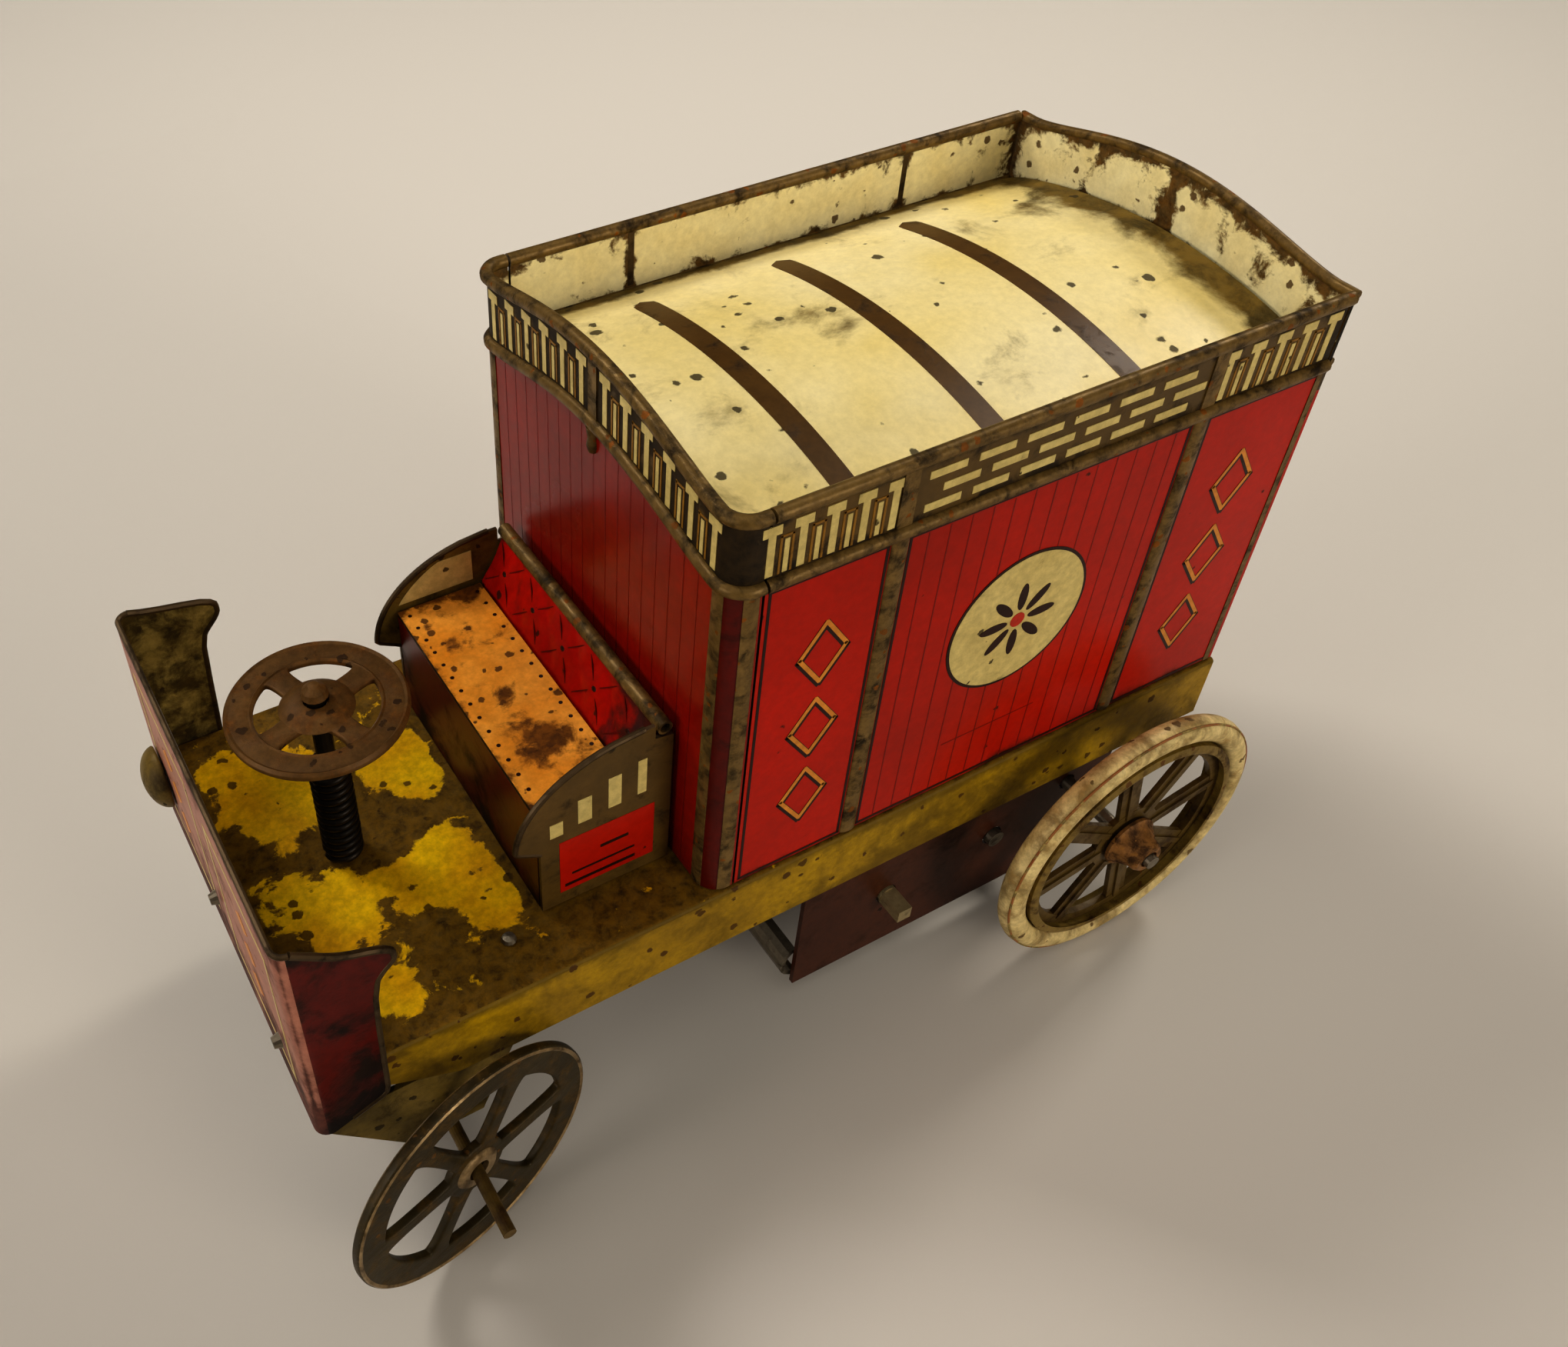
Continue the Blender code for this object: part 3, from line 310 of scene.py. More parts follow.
# Bare tinplate at cuts and on unprinted faces: grey-brown, dull, faintly metallic
BARE_EDGE = Finish("bare_tinplate", "4a3a24", "5e4c34", "2a2012", roughness=0.42, metallic=0.5, patch_mm=4,
    grime_share=0.4, speck="6a3c10", speck_share=0.2, speck_mm=2.5)
# Yellow floor print, worn through in big islands to dark, oily tin: bright and dull side by side
FLOOR = Finish("floor_yellow_lithograph", "fccc04", "e8a804", "6c521c", roughness=0.44, gloss=0.12,
    patch_mm=4.6, grime_share=0.20, grime_soft=0.05, age_gain=0.5, speck="2a1c06", speck_mm=2.6,
    speck_share=1.0, speck_size=0.30, fade_share=1.0, dent_mm=0.10, break_up=1.7, mottle=0.45)
# Sill's own run of the yellow print, browned by rust in soft clouds
SILL = Finish("sill_ochre_lithograph", "b48e06", "96740a", "54400f", roughness=0.40, gloss=0.14, patch_mm=6,
    grime_share=0.26, grime_soft=0.20, age_gain=0.7, speck="43250a", speck_mm=2.4, speck_share=1.0,
    speck_size=0.30, fade_share=1.0, dent_mm=0.08, depth=0.05, break_up=1.2, mottle=0.4)
# Orange seat print: glossy, with fine scratches, brown bald patches and small pits
ORANGE = Finish("seat_orange_lithograph", "f8aa42", "e48a1c", "7a480f", roughness=0.30, patch_mm=3.6,
    grime_share=0.30, grime_soft=0.12, age_gain=0.5, speck="43260a", speck_mm=2.2, speck_share=1.0,
    speck_size=0.28, fade_share=0.8, dent_mm=0.06, break_up=1.3, mottle=0.3)
# Dashboard's outer print: bleached from red to a brownish pink with darker scuffs
FADED_RED = Finish("dash_faded_lithograph", "b07860", "96584a", "5c3226", roughness=0.42, patch_mm=6,
    grime_share=0.34, grime_soft=0.12, speck="3a1c10", speck_share=0.8, speck_size=0.28, speck_mm=2.6)
# Olive back lacquer over tin: matt, blotched with brown
OLIVE_TIN = Finish("olive_lacquered_tin", "6e5a24", "7c6630", "33260f", roughness=0.46, metallic=0.1,
    patch_mm=5, grime_share=0.36, grime_soft=0.16, speck="1a1206", speck_share=0.8, speck_size=0.28,
    speck_mm=2.2, dent_mm=0.08, break_up=1.2, mottle=0.45)
# Grey-green lacquer inside the dashboard: the underside's olive painted lighter, as painted light where the
# inside gets little, streaked with brown
DASH_INSIDE_TIN_PAINTED_LIGHT = Finish("dash_inside_lacquer_painted_light", "b49c54", "8c7636", "4a3814", roughness=0.44, metallic=0.1,
    patch_mm=4, grime_share=0.42, grime_soft=0.16, age_gain=0.6, speck="2c1e0a", speck_share=0.9,
    speck_size=0.28, speck_mm=2.2, dent_mm=0.08, break_up=1.2, mottle=0.4)
# Dark brown stoved paint on the wheel stampings: satin, browned with rust dust in the corners
WHEEL_TIN = Finish("wheel_stoved_paint", "5a4720", "6a5224", "3a220c", roughness=0.42, metallic=0.1,
    patch_mm=4, grime_share=0.42, grime_soft=0.14, speck="7a4310", speck_share=0.25, speck_mm=2.2,
    dent_mm=0.06)
# Cream tyre paint: thick, chalky on the crown, rusty brown where it has lifted
TYRE = Finish("tyre_cream_paint", "e6cf92", "cbb06a", "8a6428", roughness=0.44, patch_mm=4,
    grime_share=0.44, grime_soft=0.15, speck="4e3212", speck_mm=2.4, speck_share=1.0, speck_size=0.28,
    dent_mm=0.10, depth=0.1, break_up=1.3, mottle=0.5)
# Thin copper wash over turned tin: warm, patchy metal glow
COPPER = Finish("rubbed_copper_wash", "9a6c38", "7a5226", "4a2e10", roughness=0.46, metallic=0.2,
    patch_mm=2.0, grime_share=0.5, grime_soft=0.16, speck="9a6a30", speck_share=1.0, speck_size=0.3,
    speck_mm=1.4, dent_mm=0.10, break_up=1.5, mottle=0.55)
# Winding stub, kept bright by the key: pale worn metal
ARBOR = Finish("worn_bright_steel", "b8a67c", "94845c", "4a3c20", roughness=0.36, metallic=0.6, patch_mm=2,
    grime_share=0.3, mottle=0.3)
# Brown line struck round the tyre's outer shoulder, half worn away
TYRE_LINE = Finish("tyre_line_ink", "8a4c24", "a87c44", "b49f5e", roughness=0.44, patch_mm=2.4,
    grime_share=0.5, grime_soft=0.05, break_up=1.5, mottle=0.4)
# Olive lacquer on the rim's inside, yellow where it is rubbed and brown with rust in the corner
RIM_TIN = Finish("rim_olive_lacquer", "7c652a", "94793a", "4a2c0c", roughness=0.44, metallic=0.1,
    patch_mm=3, grime_share=0.40, grime_soft=0.14, speck="5c3410", speck_share=1.0, speck_size=0.3,
    speck_mm=1.8, dent_mm=0.08, break_up=1.3, mottle=0.5)
# Handwheel tin, rusted all over: brown-grey with orange bloom
RUST_TIN = Finish("rusted_tinplate", "644622", "755428", "8a5214", roughness=0.50, metallic=0.2,
    patch_mm=3.4, grime_share=0.42, grime_soft=0.16, speck="2c1a0a", speck_mm=2.2, speck_share=1.0,
    speck_size=0.3, dent_mm=0.12, depth=0.0, break_up=1.2, mottle=0.6)
# Front wheel's worn stoved paint: greenish black with bare and rusty bands
FRONT_TIN = Finish("worn_black_stoved_paint", "2c2410", "4e4020", "7a5a22", roughness=0.42, metallic=0.2,
    patch_mm=3.6, grime_share=0.38, grime_soft=0.20, speck="6e4a1c", speck_share=0.8, speck_mm=2.0,
    speck_size=0.2, dent_mm=0.12, depth=0.0, break_up=1.4, mottle=0.6)
# Copper-pink bare edge of the front wheel, polished by handling
FRONT_EDGE = Finish("polished_tin_edge", "b49a70", "6e5434", "46300f", roughness=0.36, metallic=0.6,
    patch_mm=3, grime_share=0.4, grime_soft=0.2, dent_mm=0.06)
# Maroon stoved paint of the motor's side plates: satin brown
MAROON = Finish("maroon_stoved_paint", "4a2410", "38190c", "2c1a0c", roughness=0.38, patch_mm=8,
    grime_share=0.30, grime_soft=0.16, speck="1c1208", speck_share=0.10, speck_mm=3)
# Unpainted mild steel pins, rivets and shafts: grey, dull, turning brown
STEEL = Finish("dull_mild_steel", "8c8270", "776c5a", "42372a", roughness=0.38, metallic=0.85, patch_mm=3,
    grime_share=0.30, speck_share=0.1)
# Blackened spring wire: near black with a thin metal glint
SPRING_STEEL = Finish("blackened_spring_wire", "1c1710", "2a2218", "120e08", roughness=0.40, metallic=0.5,
    patch_mm=3, grime_share=0.3)
# Stamped brass gears: dull yellow metal
BRASS = Finish("dull_brass", "9a7a3c", "86682e", "4a3818", roughness=0.36, metallic=0.9, patch_mm=3,
    grime_share=0.3)


# ---------------------------------------------------------------- mesh work

def new_object(name: str, mesh: bpy.types.Mesh, finishes: Sequence[Finish]) -> Thing:
    """Make an object at the origin from a mesh in place, with its finishes in slot order."""
    made = bpy.data.objects.new(name, mesh)
    bpy.context.collection.objects.link(made)
    mesh.materials.clear()
    for finish in finishes:
        mesh.materials.append(finish.build())
    return made


def smooth(made: Thing, angle: float = 32.0) -> Thing:
    """Shade an object smooth, with edges sharper than the angle (degrees) kept crisp."""
    made.data.shade_smooth()
    made.data.set_sharp_from_angle(angle=radians(angle))
    return made


def settle(made: Thing) -> Thing:
    """Turn an object and its modifiers into a plain mesh that keeps the same name."""
    bpy.context.view_layer.update()
    graph = bpy.context.evaluated_depsgraph_get()
    mesh = bpy.data.meshes.new_from_object(made.evaluated_get(graph), preserve_all_data_layers=True,
        depsgraph=graph)
    name = made.name
    bpy.data.objects.remove(made)
    plain = bpy.data.objects.new(name, mesh)
    bpy.context.collection.objects.link(plain)
    return plain


def paint_age(made: Thing, rule: Callable[[float, float, float], float]) -> None:
    """Store how far each point has aged, from 0 (fresh print) to 1 (bare and dirty); on the front wall it
    also holds a painted sheen.

    Args:
        made: the object whose mesh is painted.
        rule: gives the age for a place in deck millimetres.
    """
    mesh = made.data
    layer = mesh.attributes.get("age") or mesh.attributes.new("age", "FLOAT", "POINT")
    values = []
    for vertex in mesh.vertices:
        place = (vertex.co - DECK) / MM
        values.append(max(-1.0, min(1.5, rule(place.x, place.y, place.z))))
    layer.data.foreach_set("value", values)


def tin_sheet(name: str, rows: Sequence[Sequence[Point]], finishes: Sequence[Finish], outward: Point,
        thickness: float = SHEET, sharp: float = 40.0) -> Thing:
    """Make a thin closed sheet from a grid of points on its outer face.

    Args:
        name: the piece's name.
        rows: grid of deck places in mm.
        finishes: one for the outer face, then the inner face, then the cut edge.
        outward: the way the outer face looks in the middle of the sheet.
        thickness: of the tin, mm, which goes inwards.
        sharp: fold angle that stays crisp, degrees.

    Returns:
        The finished plain object.
    """
    bm = bmesh.new()
    grid = [[bm.verts.new(at(*point)) for point in row] for row in rows]
    for lower, upper in zip(grid, grid[1:]):
        for index in range(len(lower) - 1):
            bm.faces.new((lower[index], lower[index + 1], upper[index + 1], upper[index]))
    bm.faces.ensure_lookup_table()
    bm.normal_update()
    width = len(rows[0]) - 1
    middle = bm.faces[(len(rows) // 2) * width + width // 2]
    if middle.normal.dot(Vector(outward)) < 0:
        bmesh.ops.reverse_faces(bm, faces=bm.faces)
    mesh = bpy.data.meshes.new(name)
    bm.to_mesh(mesh)
    bm.free()
    made = new_object(name, mesh, finishes)
    solid = made.modifiers.new("thickness", "SOLIDIFY")
    solid.thickness = thickness * MM
    solid.offset = -1.0
    solid.use_even_offset = True
    solid.material_offset = min(1, len(finishes) - 1)
    solid.material_offset_rim = min(2, len(finishes) - 1)
    return smooth(settle(made), sharp)


def from_bmesh(name: str, bm: Mesh, finish: Finish, sharp: float = 32.0) -> Thing:
    """Make a smooth shaded object from a bmesh whose points are deck millimetres."""
    bmesh.ops.remove_doubles(bm, verts=bm.verts, dist=1e-5)
    bmesh.ops.recalc_face_normals(bm, faces=bm.faces)
    for vertex in bm.verts:
        vertex.co = at(*vertex.co)
    mesh = bpy.data.meshes.new(name)
    bm.to_mesh(mesh)
    bm.free()
    return smooth(new_object(name, mesh, [finish]), sharp)


def arc(centre: Flat, radius: float, start: float, end: float, steps: int) -> list[Flat]:
    """Points along a circle's arc, both ends included; angles in degrees."""
    points = []
    for step in range(steps + 1):
        angle = radians(start + (end - start) * step / steps)
        points.append((centre[0] + radius * cos(angle), centre[1] + radius * sin(angle)))
    return points


def tube(bm: Mesh, path: Sequence[Point], radius: float, sides: int = 10, closed: bool = False) -> None:
    """Add a round bar along a path of deck places.

    Args:
        bm: the mesh that takes the bar.
        path: the bar's middle line.
        radius: of its round section, mm.
        sides: how many sides the section has.
        closed: whether the path's end meets its start.
    """
    points = [Vector(point) for point in path]
    count = len(points)
    rings = []
    normal = None
    for index, point in enumerate(points):
        if closed:
            along = points[(index + 1) % count] - points[index - 1]
        else:
            along = points[min(index + 1, count - 1)] - points[max(index - 1, 0)]
        along.normalize()
        if normal is None:
            normal = along.orthogonal().normalized()
        normal = (normal - along * normal.dot(along)).normalized()
        across = along.cross(normal)
        ring = []
        for side in range(sides):
            angle = 2 * pi * side / sides
            ring.append(bm.verts.new(point + (normal * cos(angle) + across * sin(angle)) * radius))
        rings.append(ring)
    pairs = list(zip(rings, rings[1:]))
    if closed:
        pairs.append((rings[-1], rings[0]))
    for first, second in pairs:
        for side in range(sides):
            after = (side + 1) % sides
            bm.faces.new((first[side], first[after], second[after], second[side]))
    if not closed:
        bm.faces.new(rings[0])
        bm.faces.new(rings[-1])


def turned(bm: Mesh, profile: Sequence[Flat], place: Matrix, segments: int = 48) -> None:
    """Add a turned shape: a closed or pole-to-pole profile of (radius, height) spun about +Z, then placed.

    Args:
        bm: the mesh that takes it.
        profile: corner points in mm; radius 0 makes a pole.
        place: from the lathe's axis to deck millimetres.
        segments: round the circle.
    """
    closed = profile[0] == profile[-1]
    points = list(profile[:-1] if closed else profile)
    columns = []
    for radius, height in points:
        if radius < 1e-6:
            pole = bm.verts.new(place @ Vector((0.0, 0.0, height)))
            columns.append([pole] * segments)
            continue
        ring = []
        for step in range(segments):
            angle = 2 * pi * step / segments
            ring.append(bm.verts.new(place @ Vector((radius * cos(angle), radius * sin(angle), height))))
        columns.append(ring)
    pairs = list(zip(columns, columns[1:]))
    if closed:
        pairs.append((columns[-1], columns[0]))
    for first, second in pairs:
        for step in range(segments):
            after = (step + 1) % segments
            corners = []
            for corner in (first[step], first[after], second[after], second[step]):
                if corner not in corners:
                    corners.append(corner)
            if len(corners) > 2:
                bm.faces.new(corners)


def slab(bm: Mesh, outline: Sequence[Flat], axis: str, start: float, end: float) -> None:
    """Add a flat solid: an outline pushed out along an axis.

    Args:
        bm: the mesh that takes it.
        outline: corners in the plane across the axis, as (x, z) for "y", (y, z) for "x" and (x, y) for "z".
        axis: the letter of the axis.
        start: first face's place along the axis, mm.
        end: last face's place.
    """
    def corner(point: Flat, level: float) -> Vector:
        """Put an outline point at a level along the axis."""
        first, second = point
        return {"x": Vector((level, first, second)), "y": Vector((first, level, second)),
            "z": Vector((first, second, level))}[axis]
    low = [bm.verts.new(corner(point, start)) for point in outline]
    high = [bm.verts.new(corner(point, end)) for point in outline]
    bm.faces.new(low)
    bm.faces.new(list(reversed(high)))
    for index in range(len(outline)):
        after = (index + 1) % len(outline)
        bm.faces.new((low[index], low[after], high[after], high[index]))


def stamped(name: str, outline: Sequence[Flat], holes: Iterable[Sequence[Flat]], place: Matrix,
        thickness: float, edge: float, finish: Finish) -> Thing:
    """Make a flat stamping with rounded edges from an outline and its openings.

    Args:
        name: the piece's name.
        outline: the outer edge, mm.
        holes: the edges of the openings.
        place: from the stamping's plane to deck millimetres.
        thickness: over all, mm.
        edge: radius of the rolled-over edges, mm.
        finish: its surface.

    Returns:
        The finished plain object.
    """
    curve = bpy.data.curves.new(name, "CURVE")
    curve.dimensions = "2D"
    curve.fill_mode = "BOTH"
    curve.bevel_resolution = 3
    curve.extrude = thickness / 2 - edge
    curve.bevel_depth = edge
    curve.offset = -edge
    for loop in (outline, *holes):
        spline = curve.splines.new("POLY")
        spline.points.add(len(loop) - 1)
        for point, (x, y) in zip(spline.points, loop):
            point.co = (x, y, 0.0, 1.0)
        spline.use_cyclic_u = True
    flat = bpy.data.objects.new(name, curve)
    bpy.context.collection.objects.link(flat)
    made = settle(flat)
    bm = bmesh.new()
    bm.from_mesh(made.data)
    bpy.data.objects.remove(made)
    for vertex in bm.verts:
        vertex.co = place @ vertex.co
    return from_bmesh(name, bm, finish, 40.0)


def rounded(loop: Sequence[Flat], rounds: int = 3) -> list[Flat]:
    """Round an outline's corners by cutting them off a few times over."""
    points = list(loop)
    for _ in range(rounds):
        cut = []
        for (ax, ay), (bx, by) in zip(points, points[1:] + points[:1]):
            cut.append((ax * 0.75 + bx * 0.25, ay * 0.75 + by * 0.25))
            cut.append((ax * 0.25 + bx * 0.75, ay * 0.25 + by * 0.75))
        points = cut
    return points


def windows(count: int, inner: float, outer: float, spoke: float, turn: float = 0.0) -> list[list[Flat]]:
    """Openings between a flat wheel's spokes, with rounded corners.

    Args:
        count: how many spokes.
        inner: radius of the hub's edge, mm.
        outer: inside radius of the rim, mm.
        spoke: width of a spoke, mm.
        turn: where the first spoke stands, radians.

    Returns:
        One outline for each opening.
    """
    loops = []
    for index in range(count):
        middle = degrees(2 * pi * (index + 0.5) / count + turn)
        half = 180 / count
        wide = half - degrees(asin(spoke / 2 / outer))
        narrow = half - degrees(asin(min(0.9, spoke / 2 / inner)))
        loop = arc((0, 0), outer, middle - wide, middle + wide, 8)
        loop += arc((0, 0), inner, middle + narrow, middle - narrow, 4)
        loops.append(rounded(loop))
    return loops


# ---------------------------------------------------------------- things that repeat

class Stamp(Enum):
    """What a repeated mark or part looks like."""

    PLATE = "GeometryNodeMeshCube"
    DISC = "GeometryNodeMeshCylinder"
    DOME = "GeometryNodeMeshUVSphere"


@dataclass(frozen=True)
class Mark:
    """One copy of something repeated: its place, its turn and its width and length in mm."""

    place: Point
    turn: Euler
    wide: float
    long: float


class Repeat:
    """Sets copies of one stamp on a set of points with a Geometry Nodes tree."""

    trees: dict = {}

    def __init__(self, stamp: Stamp) -> None:
        """Build the stamp's tree the first time it is needed."""
        if stamp not in Repeat.trees:
            Repeat.trees[stamp] = self.tree(stamp)
        self.group, self.sockets = Repeat.trees[stamp]

    @staticmethod
    def tree(stamp: Stamp) -> tuple[Tree, dict[str, str]]:
        """Make the tree: stamp on each point, turned and sized by the point's own values.

        Args:
            stamp: what is repeated.

        Returns:
            The tree and its inputs' identifiers by name.
        """
        group = bpy.data.node_groups.new(f"repeat_{stamp.name.lower()}", "GeometryNodeTree")
        named = {}
        for name, kind in (("Points", "NodeSocketGeometry"), ("Relief", "NodeSocketFloat"),
                ("Finish", "NodeSocketMaterial")):
            named[name] = group.interface.new_socket(name, in_out="INPUT", socket_type=kind).identifier
        group.interface.new_socket("Result", in_out="OUTPUT", socket_type="NodeSocketGeometry")
        given = add(group, "NodeGroupInput").outputs
        if stamp is Stamp.PLATE:
            shape = add(group, stamp.value, {"Size": (1.0, 1.0, 1.0)})
        elif stamp is Stamp.DISC:
            shape = add(group, stamp.value, {"Vertices": 20, "Radius": 0.5, "Depth": 1.0})
        else:
            shape = add(group, stamp.value, {"Segments": 16, "Rings": 10, "Radius": 0.5})
        turn = add(group, "GeometryNodeInputNamedAttribute", {"Name": "turn"},
            data_type="FLOAT_VECTOR").outputs[0]
        size = add(group, "GeometryNodeInputNamedAttribute", {"Name": "size"},
            data_type="FLOAT_VECTOR").outputs[0]
        relief = add(group, "ShaderNodeCombineXYZ", {"X": 1.0, "Y": 1.0, "Z": given["Relief"]}).outputs[0]
        scale = add(group, "ShaderNodeVectorMath", {0: size, 1: relief}, operation="MULTIPLY").outputs[0]
        rotation = add(group, "FunctionNodeEulerToRotation", {0: turn}).outputs[0]
        copies = add(group, "GeometryNodeInstanceOnPoints", {"Points": given["Points"],
            "Instance": shape.outputs[0], "Rotation": rotation, "Scale": scale}).outputs[0]
        plain = add(group, "GeometryNodeRealizeInstances", {0: copies}).outputs[0]
        dressed = add(group, "GeometryNodeSetMaterial", {"Geometry": plain,
            "Material": given["Finish"]}).outputs[0]
        add(group, "NodeGroupOutput", {0: dressed})
        return group, named

    def make(self, name: str, marks: Sequence[Mark], relief: float, finish: Finish) -> Thing:
        """Set the copies and turn them into one plain mesh.

        Args:
            name: the piece's name.
            marks: where each copy goes.
            relief: height of each copy in mm; half of it is sunk in what it lies on.
            finish: its surface.

        Returns:
            The finished plain object.
        """
        mesh = bpy.data.meshes.new(name)
        mesh.from_pydata([at(*mark.place) for mark in marks], [], [])
        turn = mesh.attributes.new("turn", "FLOAT_VECTOR", "POINT")
        size = mesh.attributes.new("size", "FLOAT_VECTOR", "POINT")
        for index, mark in enumerate(marks):
            turn.data[index].vector = tuple(mark.turn)
            size.data[index].vector = (mark.wide * MM, mark.long * MM, 1.0)
        made = new_object(name, mesh, [])
        modifier = made.modifiers.new("repeat", "NODES")
        modifier.node_group = self.group
        modifier[self.sockets["Relief"]] = relief * MM
        modifier[self.sockets["Finish"]] = finish.build()
        return smooth(settle(made))


def repeat(name: str, body: str, marks: Sequence[Mark], relief: float, finish: Finish,
        stamp: Stamp = Stamp.PLATE) -> Thing:
    """Make a repeated piece and let it ride on a body."""
    made = Repeat(stamp).make(name, marks, relief, finish)
    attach(made, body)
    LOG.info("%s: %d copies", name, len(marks))
    return made


def place_piece(made: Thing, body: str, *nodes: str) -> Thing:
    """Let a piece ride on a body and stand for the named CAD nodes."""
    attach(made, body)
    if nodes:
        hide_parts(*nodes)
    LOG.info("%s rides on %s", made.name, body)
    return made


def both_sides() -> tuple[tuple[int, str], ...]:
    """Give each side as a sign along Y and a name."""
    return (1, "left"), (-1, "right")


def dress(node: str, finish: Finish) -> None:
    """Give a CAD node whose shape is right its real finish."""
    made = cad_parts[node]
    material = finish.build()
    if not made.material_slots:
        made.data.materials.append(material)
    for slot in made.material_slots:
        slot.material = material
    LOG.info("%s dressed as %s", node, finish.name)


# ---------------------------------------------------------------- chassis

@dataclass(frozen=True)
class Blob:
    """A round area in the deck's plane: where it is, how wide, and how much it changes the ageing."""

    x: float
    y: float
    reach: float
    change: float

    def at(self, x: float, y: float) -> float:
        """The change it makes at a place."""
        far = hypot(x - self.x, y - self.y) / self.reach
        return self.change * max(0.0, 1.0 - far * far)


@dataclass
class Chassis:
    """Floor with sills, bent from one sheet, and the steering head's rivet."""

    tail: float = -79.1
    nose: float = 47.7
    half: float = 26.6
    sill: float = 9.9
    nose_sill: float = 6.0
    taper_start: float = 31.8
    sill_end: float = 39.8
    bend: float = 0.55
    clean: tuple[Blob, ...] = (Blob(39.5, -15.5, 9.0, 1.25), Blob(37.0, -8.5, 7.0, 1.1),
        Blob(23.0, -9.5, 6.5, 1.2), Blob(21.6, -5.2, 4.0, 0.9), Blob(23.5, 5.5, 5.0, 1.3),
        Blob(22.0, 11.5, 6.0, 1.35), Blob(28.6, 7.8, 4.6, 1.1), Blob(42.5, 2.9, 5.0, 1.0),
        Blob(38.3, 9.2, 6.4, 1.2), Blob(33.8, 5.0, 3.6, 1.0), Blob(36.4, 20.2, 4.2, 1.15),
        Blob(20.9, 15.9, 3.8, 0.95))
    dirty: tuple[Blob, ...] = (Blob(26.5, -1.2, 5.5, 0.8), Blob(36.0, -3.2, 3.6, 0.7),
        Blob(45.5, 12.0, 5.0, 0.6), Blob(27.0, 14.6, 2.6, 0.5), Blob(21.6, 9.9, 1.3, 0.9),
        Blob(21.2, 13.3, 1.1, 0.9))

    def section(self, x: float) -> list[Flat]:
        """The sheet's outer line across the van at one station, as (y, z) from left foot to right foot."""
        share = min(1.0, max(0.0, (x - self.taper_start) / (self.sill_end - self.taper_start)))
        foot = -self.sill + (self.sill - self.nose_sill) * share
        points = [(self.half, foot + (-self.bend - foot) * step / 8) for step in range(9)]
        points += arc((self.half - self.bend, -self.bend), self.bend, 12, 90, 5)
        steps = 52
        inner = self.half - self.bend
        points += [(inner - 2 * inner * step / steps, 0.0) for step in range(1, steps)]
        points += [(-y, z) for y, z in reversed(points[:14])]
        return points

    def age(self, x: float, y: float, z: float) -> float:
        """How worn the yellow print is: spotless islands on the floor, dark elsewhere."""
        if z < -0.45:
            nearer = 0.25 if x > 20 else 0.08
            foot = max(0.0, (-z - 6.5) / 4.0) * 0.25
            middle = max(0.0, 1 - abs(x + 33) / 24) * 0.34
            return nearer - 0.1 + foot + middle + (0.3 if abs(z) < 1.4 else 0.0)
        if x < 18 or x > 40.5 and y < -22:
            return 0.9
        edge = 0.25 * max(0.0, 1 - (26.6 - abs(y)) / 3.0)
        near_wall = 0.5 * max(0.0, (x - 44.5) / 3.0)
        age = 0.78 + edge + near_wall
        age -= sum(blob.at(x, y) for blob in self.clean)
        age = max(age, -0.25)
        return age + sum(blob.at(x, y) for blob in self.dirty)

    def build(self) -> None:
        """Bend the sheet, add the footboard under the dashboard and age the print."""
        stations = []
        x = self.tail
        while x < self.sill_end - 0.2:
            stations.append(x)
            x += 1.0
        stations.append(self.sill_end)
        rows = [[(x, y, z) for y, z in self.section(x)] for x in stations]
        pan = tin_sheet("floor_and_sills", rows, [FLOOR, BARE_EDGE, BARE_EDGE], (0, 0, 1))
        pan.data.materials.append(SILL.build())
        for face in pan.data.polygons:
            if face.material_index == 0 and abs(face.normal.y) > 0.6:
                face.material_index = 3
        tongue_rows = []
        half = 25.8
        for step in range(9):
            x = self.sill_end + (self.nose - self.sill_end) * step / 8
            tongue_rows.append([(x, half - 2 * half * across / 52, 0.0) for across in range(53)])
        tongue = tin_sheet("footboard", tongue_rows, [FLOOR, BARE_EDGE, BARE_EDGE], (0, 0, 1))
        bm = bmesh.new()
        bm.from_mesh(pan.data)
        bm.from_mesh(tongue.data)
        bm.to_mesh(pan.data)
        bm.free()
        bpy.data.objects.remove(tongue)
        paint_age(pan, self.age)
        place_piece(pan, VAN, "chassis_pan")

    def dress(self) -> None:
        """Set the rivet on the floor."""
        dress("floor_rivet", STEEL)


# ---------------------------------------------------------------- dashboard

